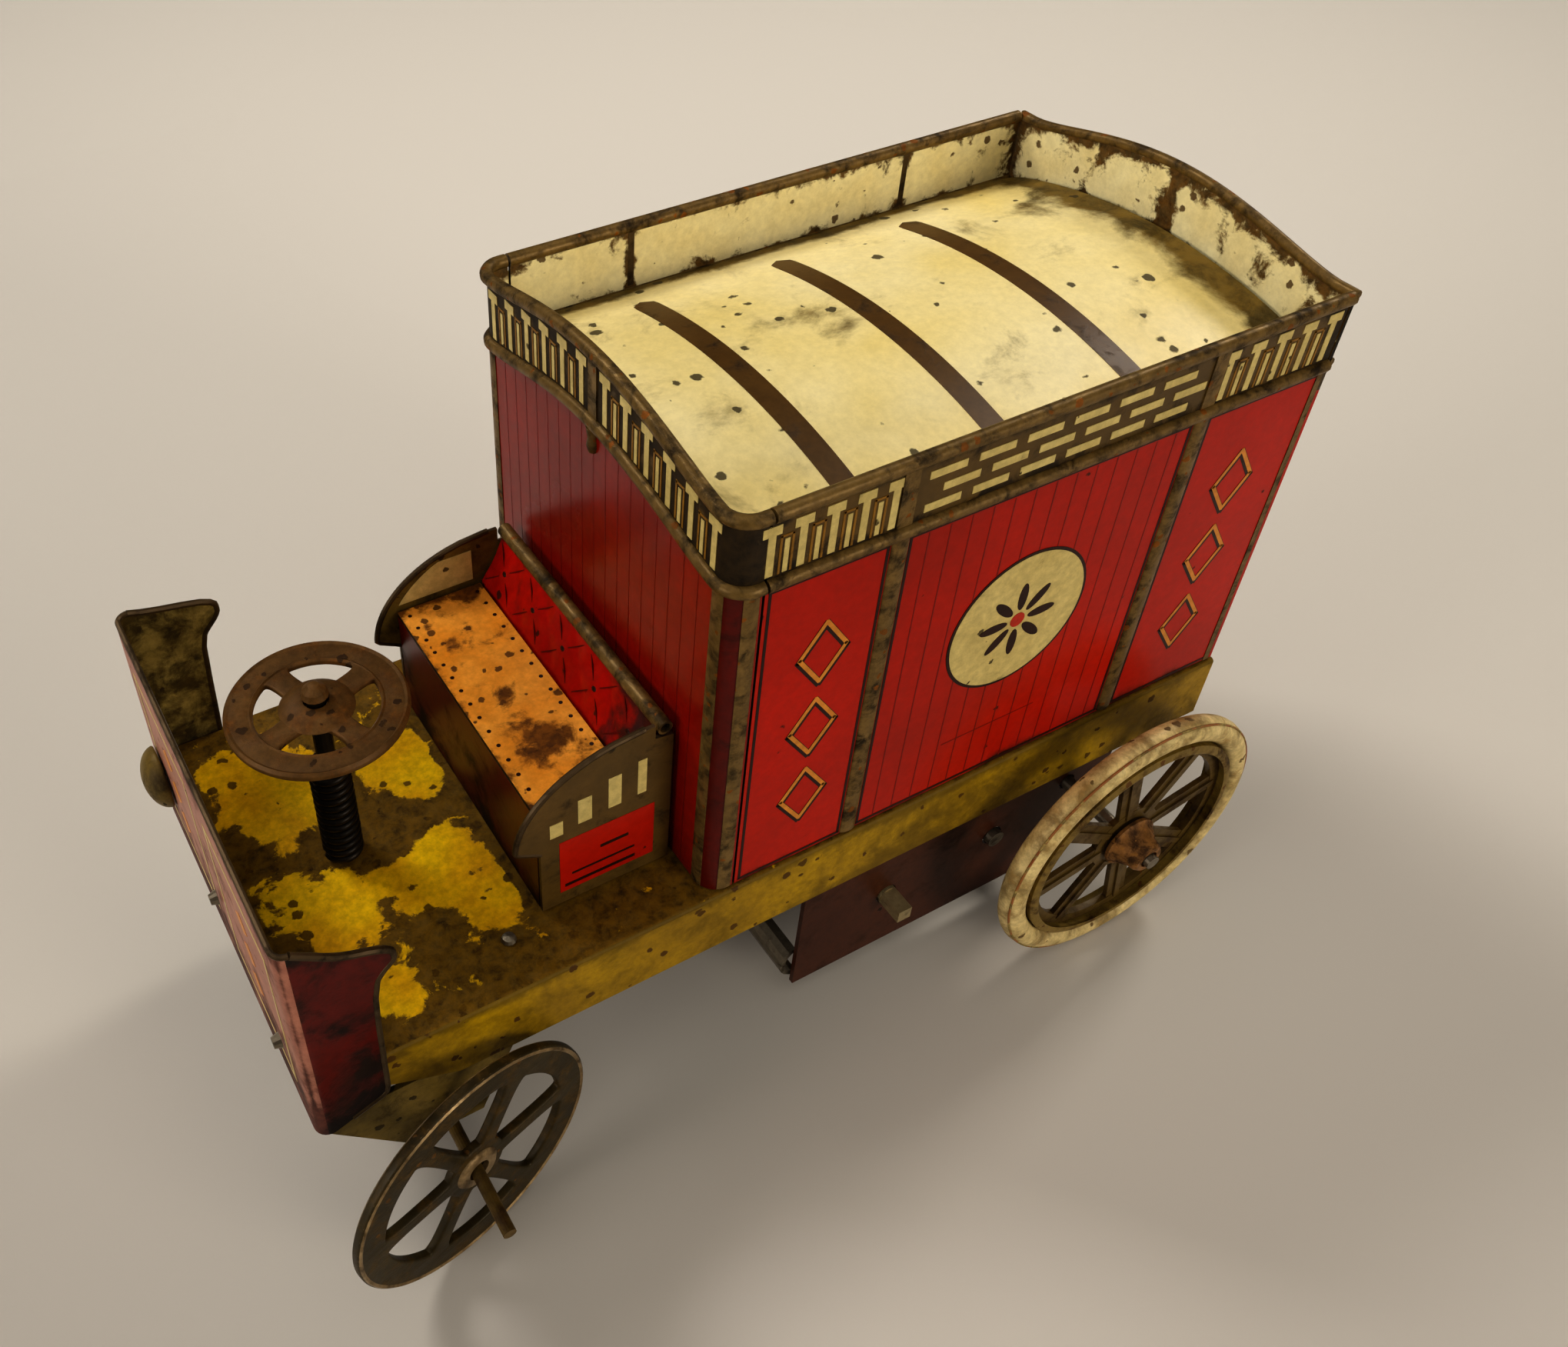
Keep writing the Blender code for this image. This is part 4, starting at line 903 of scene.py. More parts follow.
@dataclass
class Dashboard:
    """Front panel with swan-necked wings, wrapped round from one sheet and edged with a bead."""

    outer: float = 48.5
    half: float = 26.6
    corner: float = 1.6
    foot: float = -9.9
    top: float = 23.0
    bead: float = 0.42
    left_wing: tuple[Flat, ...] = ((-9.9, 46.6), (-8.6, 43.6), (-7.2, 40.3), (-5.9, 40.0), (0.0, 39.9),
        (6.0, 39.8), (10.5, 39.6), (13.4, 39.1), (14.6, 38.2), (15.4, 37.3), (16.2, 37.0), (17.0, 37.2),
        (17.7, 37.9), (18.4, 39.4), (19.2, 41.6), (20.3, 43.4), (21.6, 45.0), (22.6, 46.3), (23.0, 46.8))
    right_wing: tuple[Flat, ...] = ((-9.9, 46.6), (-8.6, 43.6), (-7.2, 40.3), (-5.9, 40.0), (0.0, 39.9),
        (8.0, 39.6), (14.0, 39.3), (16.2, 38.8), (17.2, 38.0), (18.2, 37.1), (19.1, 36.7), (20.0, 36.8),
        (20.7, 37.5), (21.2, 39.0), (21.7, 41.6), (22.2, 44.2), (22.7, 46.0), (23.0, 46.8))

    def back_edge(self, z: float, side: int) -> float:
        """How far back a wing reaches at a height.

        Args:
            z: height above the floor, mm.
            side: 1 for the left wing, -1 for the right, whose horn stands higher.

        Returns:
            The edge's x in mm.
        """
        shape = self.left_wing if side > 0 else self.right_wing
        for (za, xa), (zb, xb) in zip(shape, shape[1:]):
            if z <= zb:
                share = (z - za) / (zb - za)
                return min(46.8, xa + (xb - xa) * share)
        return 46.8

    def build(self) -> None:
        """Make the wrapped panel and the bead along its free edges."""
        heights = [self.foot + (self.top - self.foot) * step / 66 for step in range(67)]
        rows = []
        for z in heights:
            row = []
            for step in range(10):
                x = self.back_edge(z, 1)
                row.append((x + (self.outer - self.corner - x) * step / 10, self.half, z))
            row += [(x, y, z) for x, y in arc((self.outer - self.corner, self.half - self.corner),
                self.corner, 90, 0, 6)]
            run = self.half - self.corner
            row += [(self.outer, run - 2 * run * step / 40, z) for step in range(1, 40)]
            row += [(x, y, z) for x, y in arc((self.outer - self.corner, self.corner - self.half),
                self.corner, 0, -90, 6)]
            for step in range(9, -1, -1):
                x = self.back_edge(z, -1)
                row.append((x + (self.outer - self.corner - x) * step / 10, -self.half, z))
            rows.append(row)
        # the dash's inner face takes the olive lacquer painted lighter, as painted light
        panel = tin_sheet("dash_sheet", rows, [FADED_RED, DASH_INSIDE_TIN_PAINTED_LIGHT, BARE_EDGE], (1, 0, 0))
        panel.data.materials.append(DEEP_RED.build())
        for face in panel.data.polygons:
            middle = (face.center - DECK) / MM
            if face.normal.y * middle.y > 0 and abs(middle.y) > self.half - 0.05:
                face.material_index = 3
        paint_age(panel, self.age)
        place_piece(panel, VAN, "dash_panel")
        bm = bmesh.new()
        for side in (1, -1):
            edge = [(self.back_edge(z, side) + 0.1, side * (self.half - 0.25), z) for z in heights[2:]]
            tube(bm, edge, self.bead, 8)
        top = [(self.outer - self.corner, self.half - 0.25, self.top)]
        top += [(x, y, self.top) for x, y in arc((self.outer - self.corner, self.half - self.corner),
            self.corner - 0.25, 80, 0, 5)]
        top += [(self.outer - 0.25, 24 - 2 * step, self.top) for step in range(25)]
        top += [(x, y, self.top) for x, y in arc((self.outer - self.corner, self.corner - self.half),
            self.corner - 0.25, 0, -80, 5)]
        top.append((self.outer - self.corner, -self.half + 0.25, self.top))
        tube(bm, top, self.bead * 0.8, 8)
        place_piece(from_bmesh("dash_bead", bm, BARE_EDGE), VAN)

    def age(self, x: float, y: float, z: float) -> float:
        """Grime gathers at the foot, in the corners and inside near the floor."""
        inside = x < self.outer - 0.3 and abs(y) < self.half - 0.3
        foot = max(0.0, (4.0 - z) / 14.0) * 0.4
        return foot + (0.2 if inside else 0.0) + 0.3 * max(0.0, (z - 20.5) / 2.5)

    def dress(self) -> None:
        """Print a plain panel on the front and add the lamp and the lamp-side rivets."""
        turn = facing((1, 0, 0), (0, 0, 1))
        marks = []
        for centre in (-12.6, 12.6):
            for y, z, wide, long in ((0, 17.5, 19, 0.7), (0, -4.5, 19, 0.7), (-9.2, 6.5, 0.7, 21),
                    (9.2, 6.5, 0.7, 21)):
                marks.append(Mark((self.outer, centre + y, z), turn, wide, long))
        repeat("dash_printed_frame", VAN, marks, 0.08, CREAM)
        marks = []
        for centre in (-12.6, 12.6):
            for z in (1.0, 6.5, 12.0):
                marks.append(Mark((self.outer, centre, z), facing((1, 0, 0), (0, 1, 1)), 2.6, 2.6))
        repeat("dash_printed_lozenges", VAN, marks, 0.08, GOLD_INK)
        self.lamp()
        dress("dash_rivet_left", STEEL)
        dress("dash_rivet_middle", STEEL)

    def lamp(self) -> None:
        """Turn the pressed lamp shell with its rolled lip."""
        place = Matrix.Translation(Vector((self.outer + 0.3, -20.5, 1.5))) @ Matrix.Rotation(pi / 2, 4, "Y")
        profile = [(0.0, 2.55)] + [(4.0 * sin(radians(a)), 2.55 * cos(radians(a))) for a in range(10, 88,
            8)]
        profile += [(4.0, 0.15), (3.9, 0.0), (0.0, 0.0)]
        bm = bmesh.new()
        turned(bm, profile, place, 40)
        place_piece(from_bmesh("lamp_shell", bm, OLIVE_TIN, 50), VAN, "headlamp_right")


# ---------------------------------------------------------------- seat

@dataclass
class Seat:
    """Driver's bench: a box front, a printed plate, a quilted back and two quarter-oval sides."""

    depth: float = 17.2
    height: float = 16.2
    half: float = 18.9
    back_foot: float = 6.0
    top: float = 23.5
    rail: float = 0.9
    rail_reach: float = 1.9
    tip: float = 20.2
    beak: float = 11.6
    rear: float = 3.1

    def front_edge(self, z: float) -> float:
        """How far forward a seat side reaches at a height."""
        if z <= self.beak - 1.2:
            return self.depth
        if z <= self.beak + 0.5:
            return self.depth + (self.tip - self.depth) * (z - self.beak + 1.2) / 1.7
        share = min(1.0, (z - self.beak) / (self.top - self.beak))
        angle = asin(share)
        return self.rear + (self.tip - self.rear) * max(0.0, cos(angle)) ** 0.9

    def rear_edge(self, z: float) -> float:
        """Where a seat side ends at the back."""
        return 0.8 if z < 21.3 else self.rear

    def build(self) -> None:
        """Make the box front, the plate, the back and the sides."""
        inner = self.half - 0.8
        rows = []
        for step in range(17):
            z = 0.3 + (self.height - 0.6 - 0.3) * step / 16
            rows.append([(self.depth, inner - 2 * inner * across / 30, z) for across in range(31)])
        front = tin_sheet("seat_box_front", rows, [DEEP_RED, BARE_EDGE, BARE_EDGE], (1, 0, 0))
        paint_age(front, lambda x, y, z: 0.25 * max(0.0, 1 - z / 5))
        place_piece(front, VAN, "seat_front")

        rows = []
        for step in range(13):
            x = self.back_foot + (self.depth - self.back_foot) * step / 12
            rows.append([(x, -inner + 2 * inner * across / 38, self.height) for across in range(39)])
        plate = tin_sheet("seat_plate_sheet", rows, [ORANGE, BARE_EDGE, BARE_EDGE], (0, 0, 1))
        paint_age(plate, self.plate_age)
        place_piece(plate, VAN, "seat_plate")
        self.build_back(inner)
        self.build_sides()

    def plate_age(self, x: float, y: float, z: float) -> float:
        """Brown wear along the plate's edges and over its left third."""
        edge = max(0.0, 1 - (18.1 - abs(y)) / 1.6) * 0.55 + max(0.0, 1 - (17.2 - x) / 1.0) * 0.4
        patches = (Blob(12.5, 8.4, 3.4, 0.62), Blob(9.0, 9.2, 3.6, 0.58), Blob(14.4, 11.0, 2.6, 0.5),
            Blob(8.0, 13.4, 2.6, 0.4), Blob(14.0, -9.8, 1.8, 0.62), Blob(8.2, -16.6, 2.2, 0.7),
            Blob(11.0, -11.6, 1.4, 0.5), Blob(12.0, 0.6, 2.0, 0.45), Blob(13.0, 4.5, 2.4, 0.4),
            Blob(15.2, -14.0, 1.2, 0.35))
        return edge - 0.12 + sum(patch.at(x, y) for patch in patches)

    def build_back(self, inner: float) -> None:
        """Make the sloping back with its slight quilting and the rolled rail along its top."""
        foot = self.back_foot - 0.3
        rise = self.top - 1.2
        rows = []
        steps = 26
        for step in range(steps + 1):
            share = step / steps
            if share < 0.2:
                x, z = foot, 0.3 + (self.height - 0.3) * share / 0.2
            else:
                along = (share - 0.2) / 0.8
                x = foot + (self.rail_reach + 0.5 - foot) * along
                z = self.height + (rise - self.height) * along
            row = []
            for across in range(73):
                y = inner - 2 * inner * across / 72
                swell = 0.0
                if share > 0.2:
                    swell = self.quilt(y, (share - 0.2) / 0.8)
                row.append((x + swell, y, z))
            rows.append(row)
        back = tin_sheet("quilted_back", rows, [QUILT_RED, BARE_EDGE, BARE_EDGE], (1, 0, 0), 0.35)
        paint_age(back, lambda x, y, z: 0.22 * max(0.0, (y - 4) / 12) + 0.2 * max(0.0, (z - 21.2) / 2))
        bm = bmesh.new()
        centre = Vector((self.rail_reach, 0.0, self.top - 0.9))
        bore = self.rail - 0.28
        length = self.half
        profile = [(bore, -length), (self.rail, -length), (self.rail, length), (bore, length),
            (bore, length - 3.0), (0.0, length - 3.0)]
        closed = [(0.0, -length + 3.0), (bore, -length + 3.0)] + profile
        turned(bm, closed, Matrix.Translation(centre) @ Matrix.Rotation(-pi / 2, 4, "X"), 24)
        rail = from_bmesh("seat_rail_tube", bm, BRONZE, 40)
        place_piece(back, VAN, "seat_back")
        place_piece(rail, VAN)

    @staticmethod
    def quilt(y: float, up: float) -> float:
        """Height of the quilting's swell at a place on the back."""
        pitch = 7.4
        first = (y / pitch + up) % 1.0
        second = (y / pitch - up) % 1.0
        return 0.24 * min(1.0, 3 * min(first, 1 - first, second, 1 - second)) - 0.12

    def build_sides(self) -> None:
        """Make both seat sides, each with a bead round its oval edge."""
        for side, label in both_sides():
            levels = [0.3 + (self.top - 0.02 - 0.3) * step / 60 for step in range(61)]
            rows = []
            for z in levels:
                start, end = self.rear_edge(z), max(self.front_edge(z), self.rear_edge(z) + 0.05)
                rows.append([(start + (end - start) * step / 22, side * self.half, z) for step in range(23)])
            panel = tin_sheet(f"seat_side_sheet_{label}", rows, [BAND, OLIVE_TIN, BARE_EDGE], (0, side, 0))
            place_piece(panel, VAN, f"seat_side_{label}")
            bm = bmesh.new()
            edge = [(self.front_edge(z) - 0.1, side * (self.half - 0.25),
                z) for z in levels if z > self.beak - 1.3]
            tube(bm, edge, 0.36, 8)
            place_piece(from_bmesh(f"seat_side_bead_{label}", bm, BARE_EDGE), VAN)

    def dress(self) -> None:
        """Print the tacks, the quilting lines, the balustrade and the panels."""
        flat = facing((0, 0, 1), (0, 1, 0))
        tacks = []
        for x in (self.back_foot + 1.0, self.depth - 1.1):
            for step in range(15):
                tacks.append(Mark((x, -16.8 + 2.4 * step, self.height), flat, 0.5, 0.5))
        repeat("seat_printed_tacks", VAN, tacks, 0.06, DARK_INK, Stamp.DISC)
        self.quilt_lines()
        for side, label in both_sides():
            out = facing((0, side, 0), (0, 0, 1))
            face = side * self.half
            panel = [Mark((8.9, face, 6.7), out, 12.0, 8.8)]
            repeat(f"seat_side_panel_{label}", VAN, panel, 0.09, RED)
            bars = [Mark((4.6, face, 16.4), out, 1.1, 5.4), Mark((8.0, face, 15.9), out, 1.6, 4.8),
                Mark((11.7, face, 15.0), out, 1.7, 3.8), Mark((15.2, face, 13.6), out, 1.6, 2.2)]
            repeat(f"seat_side_balusters_{label}", VAN, bars, 0.11, CREAM)
            shade = [Mark((9.4, face, 5.0), out, 8.0, 0.35), Mark((8.0, face, 7.6), out, 3.6, 0.5),
                Mark((9.8, face, 3.3), out, 9.0, 0.5)]
            repeat(f"seat_side_shading_{label}", VAN, shade, 0.12, DARK_INK)
            wall = side * (self.half - SHEET)
            heights = [17.0 + 4.6 * step / 12 for step in range(13)]
            outline = [(6.8, 17.0)] + [(self.front_edge(z) - 1.7, z) for z in heights] + [(6.8, heights[-1])]
            bm = bmesh.new()
            slab(bm, outline, "y", wall + side * 0.1, wall - side * 0.05)
            place_piece(from_bmesh(f"seat_side_inner_print_{label}", bm, CREAM), VAN)

    def quilt_lines(self) -> None:
        """Lay the printed diamond lines and buttons on the sloping back."""
        foot = Vector((self.back_foot - 0.3, 0.0, self.height))
        crest = Vector((self.rail_reach + 0.5, 0.0, self.top - 1.2))
        slope = crest - foot
        out = Vector((slope.z, 0.0, -slope.x)).normalized()
        pitch = 7.4
        lines = []
        buttons = []
        for step in range(-2, 4):
            for lean in (1, -1):
                middle = foot + slope * 0.5 + Vector((0.0, step * pitch, 0.0))
                along = slope + Vector((0.0, lean * pitch, 0.0))
                if abs(middle.y) > 15.0:
                    continue
                turn = facing(tuple(out), tuple(along.normalized()))
                lines.append(Mark(tuple(middle), turn, 0.13, along.length * 0.97))
            place = foot + slope * 0.5 + Vector((0.0, step * pitch, 0.0))
            if abs(place.y) < 17:
                buttons.append(Mark(tuple(place), facing(tuple(out), (0, 1, 0)), 0.8, 1.1))
        repeat("quilt_printed_lines", VAN, lines, 0.16, DEEP_RED)
        repeat("quilt_buttons", VAN, buttons, 0.34, DARK_INK, Stamp.DOME)


# ---------------------------------------------------------------- body

@dataclass
class BoxBody:
    """Tall box with rounded front corners, embossed rails, a gallery round the roof and corner posts."""

    length: float = 78.0
    half: float = 26.1
    rail_height: float = 45.9
    top_height: float = 54.3
    rise: float = 3.6
    corner: float = 2.6
    wrap: float = 0.8
    rail: float = 0.8
    front_post: float = -19.5
    rear_post: float = -59.6
    rear_wall: float = -78.8

    def arch(self, y: float) -> float:
        """Rise of the end galleries above their corners."""
        share = min(1.0, abs(y) / (self.half - self.corner))
        return self.rise * (1.0 - share * share) ** 1.5

    def plan(self) -> list[Flat]:
        """Outer line of the front wall from above, left end first."""
        back = -self.corner - self.wrap
        points = [(back, self.half)]
        points += arc((-self.corner, self.half - self.corner), self.corner, 90, 0, 8)
        run = self.half - self.corner
        points += [(0.0, run - 2 * run * step / 48) for step in range(1, 48)]
        points += arc((-self.corner, self.corner - self.half), self.corner, 0, -90, 8)
        points.append((back, -self.half))
        return points

    def levels(self, low: float, high: float, pitch: float = 1.0) -> list[float]:
        """Heights from low to high about a pitch apart."""
        count = max(1, round((high - low) / pitch))
        return [low + (high - low) * step / count for step in range(count + 1)]

    def split_print(self, made: Thing, outside: Callable[[Vector, Vector], bool]) -> None:
        """Print the gallery's outer face in its own ground colour and leave its inside cream.

        Args:
            made: a wall with the slots red, plain inside, edge, gallery ground and gallery inside.
            outside: tells from a face's middle (deck mm) and normal whether it looks outwards.
        """
        for face in made.data.polygons:
            middle = (face.center - DECK) / MM
            arched = self.arch(middle.y) if middle.x > -self.corner or middle.x < -self.length else 0.0
            if face.material_index == 2 or middle.z < self.rail_height + arched - 0.2:
                continue
            face.material_index = 3 if outside(middle, face.normal) else 4

    def build(self) -> None:
        """Make the four walls, each with its rails."""
        # the front wall's red is the side print painted darker as shade, and its grime is partly a painted
        # sheen
        slots = [FRONT_RED_PAINTED_SHADE_AND_SHEEN, BARE_EDGE, BARE_EDGE, BAND, INSIDE_CREAM]
        plan = self.plan()
        rows = []
        for share in (step / 60 for step in range(61)):
            row = []
            for x, y in plan:
                low = 0.3
                if share < 46 / 60:
                    z = low + (self.rail_height + self.arch(y) - low) * share * 60 / 46
                else:
                    z = self.rail_height + self.arch(y) + (self.top_height - self.rail_height) * (share * 60
                        - 46) / 14
                row.append((x, y, z))
            rows.append(row)
        front = tin_sheet("front_wall_sheet", rows, slots[:3], (1, 0, 0))
        self.add_slots(front)
        self.split_print(front, lambda middle, normal: normal.x + normal.y * (1 if middle.y > 0 else -1) > 0)
        paint_age(front, self.age)
        place_piece(front, VAN, "front_wall")
        bm = bmesh.new()
        for height in (self.rail_height, self.top_height):
            tube(bm, [(x, y, height + self.arch(y)) for x, y in plan], self.rail - 0.02, 10)
        place_piece(from_bmesh("front_wall_rails", bm, BRONZE, 60), VAN)
        for side, label in both_sides():
            self.build_side(side, label)
        self.build_rear()

    def add_slots(self, made: Thing) -> None:
        """Give a wall its gallery slots after red, inside and edge."""
        made.data.materials.append(BAND.build())
        made.data.materials.append(INSIDE_CREAM.build())

    def build_side(self, side: int, label: str) -> None:
        """Make one side wall with its rails and pilasters.

        Args:
            side: 1 for the left, -1 for the right.
            label: the side's name.
        """
        front = -self.corner - self.wrap - 0.3
        columns = self.levels(-self.length, front, 1.2)
        rows = []
        for z in self.levels(0.3, self.rail_height, 1.2) + self.levels(self.rail_height, self.top_height,
                1.0)[1:]:
            rows.append([(x, side * self.half, z) for x in columns])
        wall = tin_sheet(f"side_wall_sheet_{label}", rows, [RED, BARE_EDGE, BARE_EDGE], (0, side, 0))
        self.add_slots(wall)
        self.split_print(wall, lambda middle, normal: normal.y * side > 0)
        paint_age(wall, self.age)
        place_piece(wall, VAN, f"side_wall_{label}")
        bm = bmesh.new()
        for height in (self.rail_height, self.top_height):
            tube(bm, [(x, side * self.half, height) for x in self.levels(-self.length, front, 3)],
                self.rail - 0.02, 12)
        place_piece(from_bmesh(f"side_rails_{label}", bm, BRONZE, 60), VAN)
        bm = bmesh.new()
        for x in (self.front_post, self.rear_post):
            outline = [(x - 1.1, side * (self.half - 0.2))]
            outline += [(x - 1.1 * cos(radians(a)), side * (self.half + 0.43 * sin(radians(a)))) for a in
                range(10, 171, 16)]
            outline.append((x + 1.1, side * (self.half - 0.2)))
            slab(bm, outline, "z", 0.6, self.rail_height)
        place_piece(from_bmesh(f"pilasters_{label}", bm, BRONZE, 50), VAN)

    def build_rear(self) -> None:
        """Make the rear wall round its doorway, with arched rails."""
        outer = self.rear_wall
        bm = bmesh.new()
        half = self.half
        opening, sill, head = 19.5, 1.6, 42.4
        for side in (1, -1):
            edges = sorted((side * half, side * opening))
            slab(bm, [(edges[0], 0.3), (edges[1], 0.3), (edges[1], head), (edges[0], head)], "x", outer,
                outer + SHEET)
        slab(bm, [(-opening, 0.3), (opening, 0.3), (opening, sill), (-opening, sill)], "x", outer,
            outer + SHEET)
        jambs = from_bmesh("rear_door_surround", bm, RED)
        jambs.data.materials.append(BARE_EDGE.build())
        for face in jambs.data.polygons:
            if face.normal.x > 0.9:
                face.material_index = 1
        place_piece(jambs, VAN)
        across = [half - 2 * half * step / 56 for step in range(57)]
        rows = []
        for share in range(17):
            if share < 5:
                rows.append([(outer, y, head + (self.rail_height + self.arch(y) - head) * share / 5) for y
                    in across])
            else:
                part = (share - 5) / 11 * (self.top_height - self.rail_height)
                rows.append([(outer, y, self.rail_height + self.arch(y) + part) for y in across])
        wall = tin_sheet("rear_wall_sheet", rows, [RED, BARE_EDGE, BARE_EDGE], (-1, 0, 0))
        self.add_slots(wall)
        self.split_print(wall, lambda middle, normal: normal.x < 0)
        paint_age(wall, self.age)
        place_piece(wall, VAN, "rear_wall")
        bm = bmesh.new()
        for height in (self.rail_height, self.top_height):
            tube(bm, [(outer, half - 2 * half * step / 40, height + self.arch(half - 2 * half * step / 40))
                for step in range(41)], 0.63, 10)
        place_piece(from_bmesh("rear_wall_rails", bm, BRONZE, 60), VAN)
        bm = bmesh.new()
        reach = 1.1
        for side in (1, -1):
            for low in (0.3, 42.7):
                y = side * HINGE[1]
                outline = [(HINGE[0], y + reach), *arc((HINGE[0], y), reach, 90, 270, 10),
                    (HINGE[0], y - reach), (outer, y - reach), (outer, y + reach)]
                slab(bm, outline, "z", low, low + 0.9)
        place_piece(from_bmesh("hinge_lugs", bm, BRONZE), VAN)

    def age(self, x: float, y: float, z: float) -> float:
        """Grime at the walls' feet, along the rails and inside the gallery near the roof and the top edge,
        and a painted sheen in a cloud high on the front wall.
        """
        arched = self.arch(y) if x > -self.corner or x < -self.length - 0.05 else 0.0
        low = 0.35 * max(0.0, 1 - z / 2.2)
        if z < self.rail_height + arched:
            rear = 0.22 * max(0.0, (-x - 60) / 18) * max(0.0, 1 - z / 9)
            # painted sheen: a cloud of the front wall's purplish grime colour high on the wall stands in for
            # a reflection
            sheen = 0.28 * max(0.0, 1 - hypot((y + 6) / 14, (z - 34) / 13)) if x > -0.6 else 0.0
            return low + rear + sheen
        up = (z - self.rail_height - arched) / (self.top_height - self.rail_height)
        corner = 0.5 * max(0.0, 1 - (self.half - abs(y)) / 2.4) if x > -2 or x < -77 else 0.0
        ends = 0.3 * max(0.0, 1 - (x + self.length) / 4) + 0.3 * max(0.0, 1 + (x + 3) / 3)
        posts = 0.5 * max(0.0, 1 - min(abs(x - self.front_post), abs(x - self.rear_post)) / 1.1)
        if x < -77.9:
            posts, ends = 0.6 * max(0.0, 1 - abs(y) / 1.4), 0.0
        heavy = 0.16 if x < -77.9 else 0.0
        edges = 0.42 * max(0.0, (up - 0.78) / 0.22) + 0.4 * max(0.0, (0.2 - up) / 0.2)
        return edges + corner + min(0.3, ends) + heavy * (0.4 + up) + posts

    def dress(self) -> None:
        """Lay all the printing: corner posts, boards, balustrade, medallion and panel ornaments."""
        self.corner_posts()
        self.front_boards()
        for side, label in both_sides():
            self.side_boards(side, label)
            self.medallion(side, label)
            self.end_panels(side, label)
            self.side_gallery(side, label)
        self.front_gallery()
        self.inside_posts()

    def corner_posts(self) -> None:
        """Brown bars at both edges of the rounded corners, with the dark red strip between them."""
        def band(bm: Mesh, side: int, first: float, last: float, relief: float, foot: float) -> None:
            """Add one upright strip round part of a corner, from one angle to another."""
            lines = []
            for reach in (self.corner + relief, self.corner - 0.2):
                turn = [radians(first + (last - first) * step / 8) for step in range(9)]
                lines.append([(-self.corner + reach * cos(a), side * (self.half - self.corner) + side *
                    reach * sin(a)) for a in turn])
            slab(bm, lines[0] + list(reversed(lines[1])), "z", foot, self.rail_height)

        for side, label in both_sides():
            bars, strip = bmesh.new(), bmesh.new()
            band(bars, side, -14, 22, 0.16, 0.5)
            band(bars, side, 64, 100, 0.16, 0.5)
            place_piece(from_bmesh(f"corner_bars_{label}", bars, BRONZE, 60), VAN)
            band(strip, side, 22, 64, 0.05, 0.4)
            place_piece(from_bmesh(f"corner_strip_{label}", strip, DEEP_RED, 60), VAN)

    def front_boards(self) -> None:
        """Thin upright board lines on the front wall."""
        turn = facing((1, 0, 0), (0, 0, 1))
        marks = []
        for step in range(17):
            y = -20.4 + 2.55 * step
            high = self.rail_height + self.arch(y) - 0.6
            marks.append(Mark((0.0, y, (high + 0.4) / 2), turn, 0.16, high - 0.4))
        repeat("front_board_lines", VAN, marks, 0.05, BOARD_INK)
        boss = bmesh.new()
        place = Matrix.Translation(Vector((0.0, 0.0, self.rail_height + self.rise - 2.0)))
        profile = [(0.0, -1.9), (0.55, -1.5), (0.75, -0.7), (0.62, 0.2), (0.8, 1.6), (0.0, 1.6)]
        turned(boss, profile, place, 20)
        place_piece(from_bmesh("front_drop_boss", boss, BRONZE, 60), VAN)

    def side_boards(self, side: int, label: str) -> None:
        """Board lines of the middle panel and the dark outlines of all three panels."""
        turn = facing((0, side, 0), (0, 0, 1))
        face = side * self.half
        marks = []
        x = self.rear_post + 3.4
        while x < self.front_post - 2.0:
            marks.append(Mark((x, face, 22.6), turn, 0.16, 43.6))
            x += 2.75
        marks.append(Mark((-39.0, face, 8.4), turn, 14.0, 0.16))
        repeat(f"side_board_lines_{label}", VAN, marks, 0.05, BOARD_INK)
        edges = []
        for low, high in ((-77.6, self.rear_post - 1.2), (self.rear_post + 1.2, self.front_post - 1.2),
                (self.front_post + 1.2, -4.1)):
            middle = (low + high) / 2
            edges += [Mark((low + 0.2, face, 22.8), turn, 0.36, 44.0),
                Mark((high - 0.2, face, 22.8), turn, 0.36, 44.0),
                Mark((middle, face, 0.8), turn, high - low, 0.36),
                Mark((middle, face, 44.8), turn, high - low, 0.5)]
        repeat(f"side_panel_outlines_{label}", VAN, edges, 0.07, DARK_INK)
        rear = [Mark((-77.7, face, 22.8), turn, 0.9, 45.0)]
        repeat(f"rear_corner_bar_{label}", VAN, rear, 0.16, BRONZE)

    def medallion(self, side: int, label: str) -> None:
        """Cream disc with a dark ring and a plain eight-petalled rosette."""
        centre = Vector((-39.1, side * self.half, 25.4))
        place = Matrix.Translation(centre) @ Matrix.Rotation(-side * pi / 2, 4, "X")
        for name, radius, relief, finish in (("ring", 9.75, 0.06, DARK_INK), ("disc", 9.35, 0.10, CREAM)):
            bm = bmesh.new()
            turned(bm, [(0.0, relief), (radius, relief), (radius, -0.1), (0.0, -0.1)], place, 72)
            place_piece(from_bmesh(f"medallion_{name}_{label}", bm, finish), VAN)
        petals = []
        for step in range(8):
            angle = 2 * pi * step / 8
            spoke = Vector((cos(angle), 0.0, sin(angle)))
            petals.append(Mark(tuple(centre + spoke * 3.4), facing((0, side, 0), tuple(spoke)), 1.25, 3.9))
        repeat(f"medallion_petals_{label}", VAN, petals, 0.30, DARK_INK, Stamp.DISC)
        dots = [Mark(tuple(centre), facing((0, side, 0), (0, 0, 1)), 2.0, 2.0)]
        repeat(f"medallion_heart_{label}", VAN, dots, 0.34, RED_INK, Stamp.DISC)

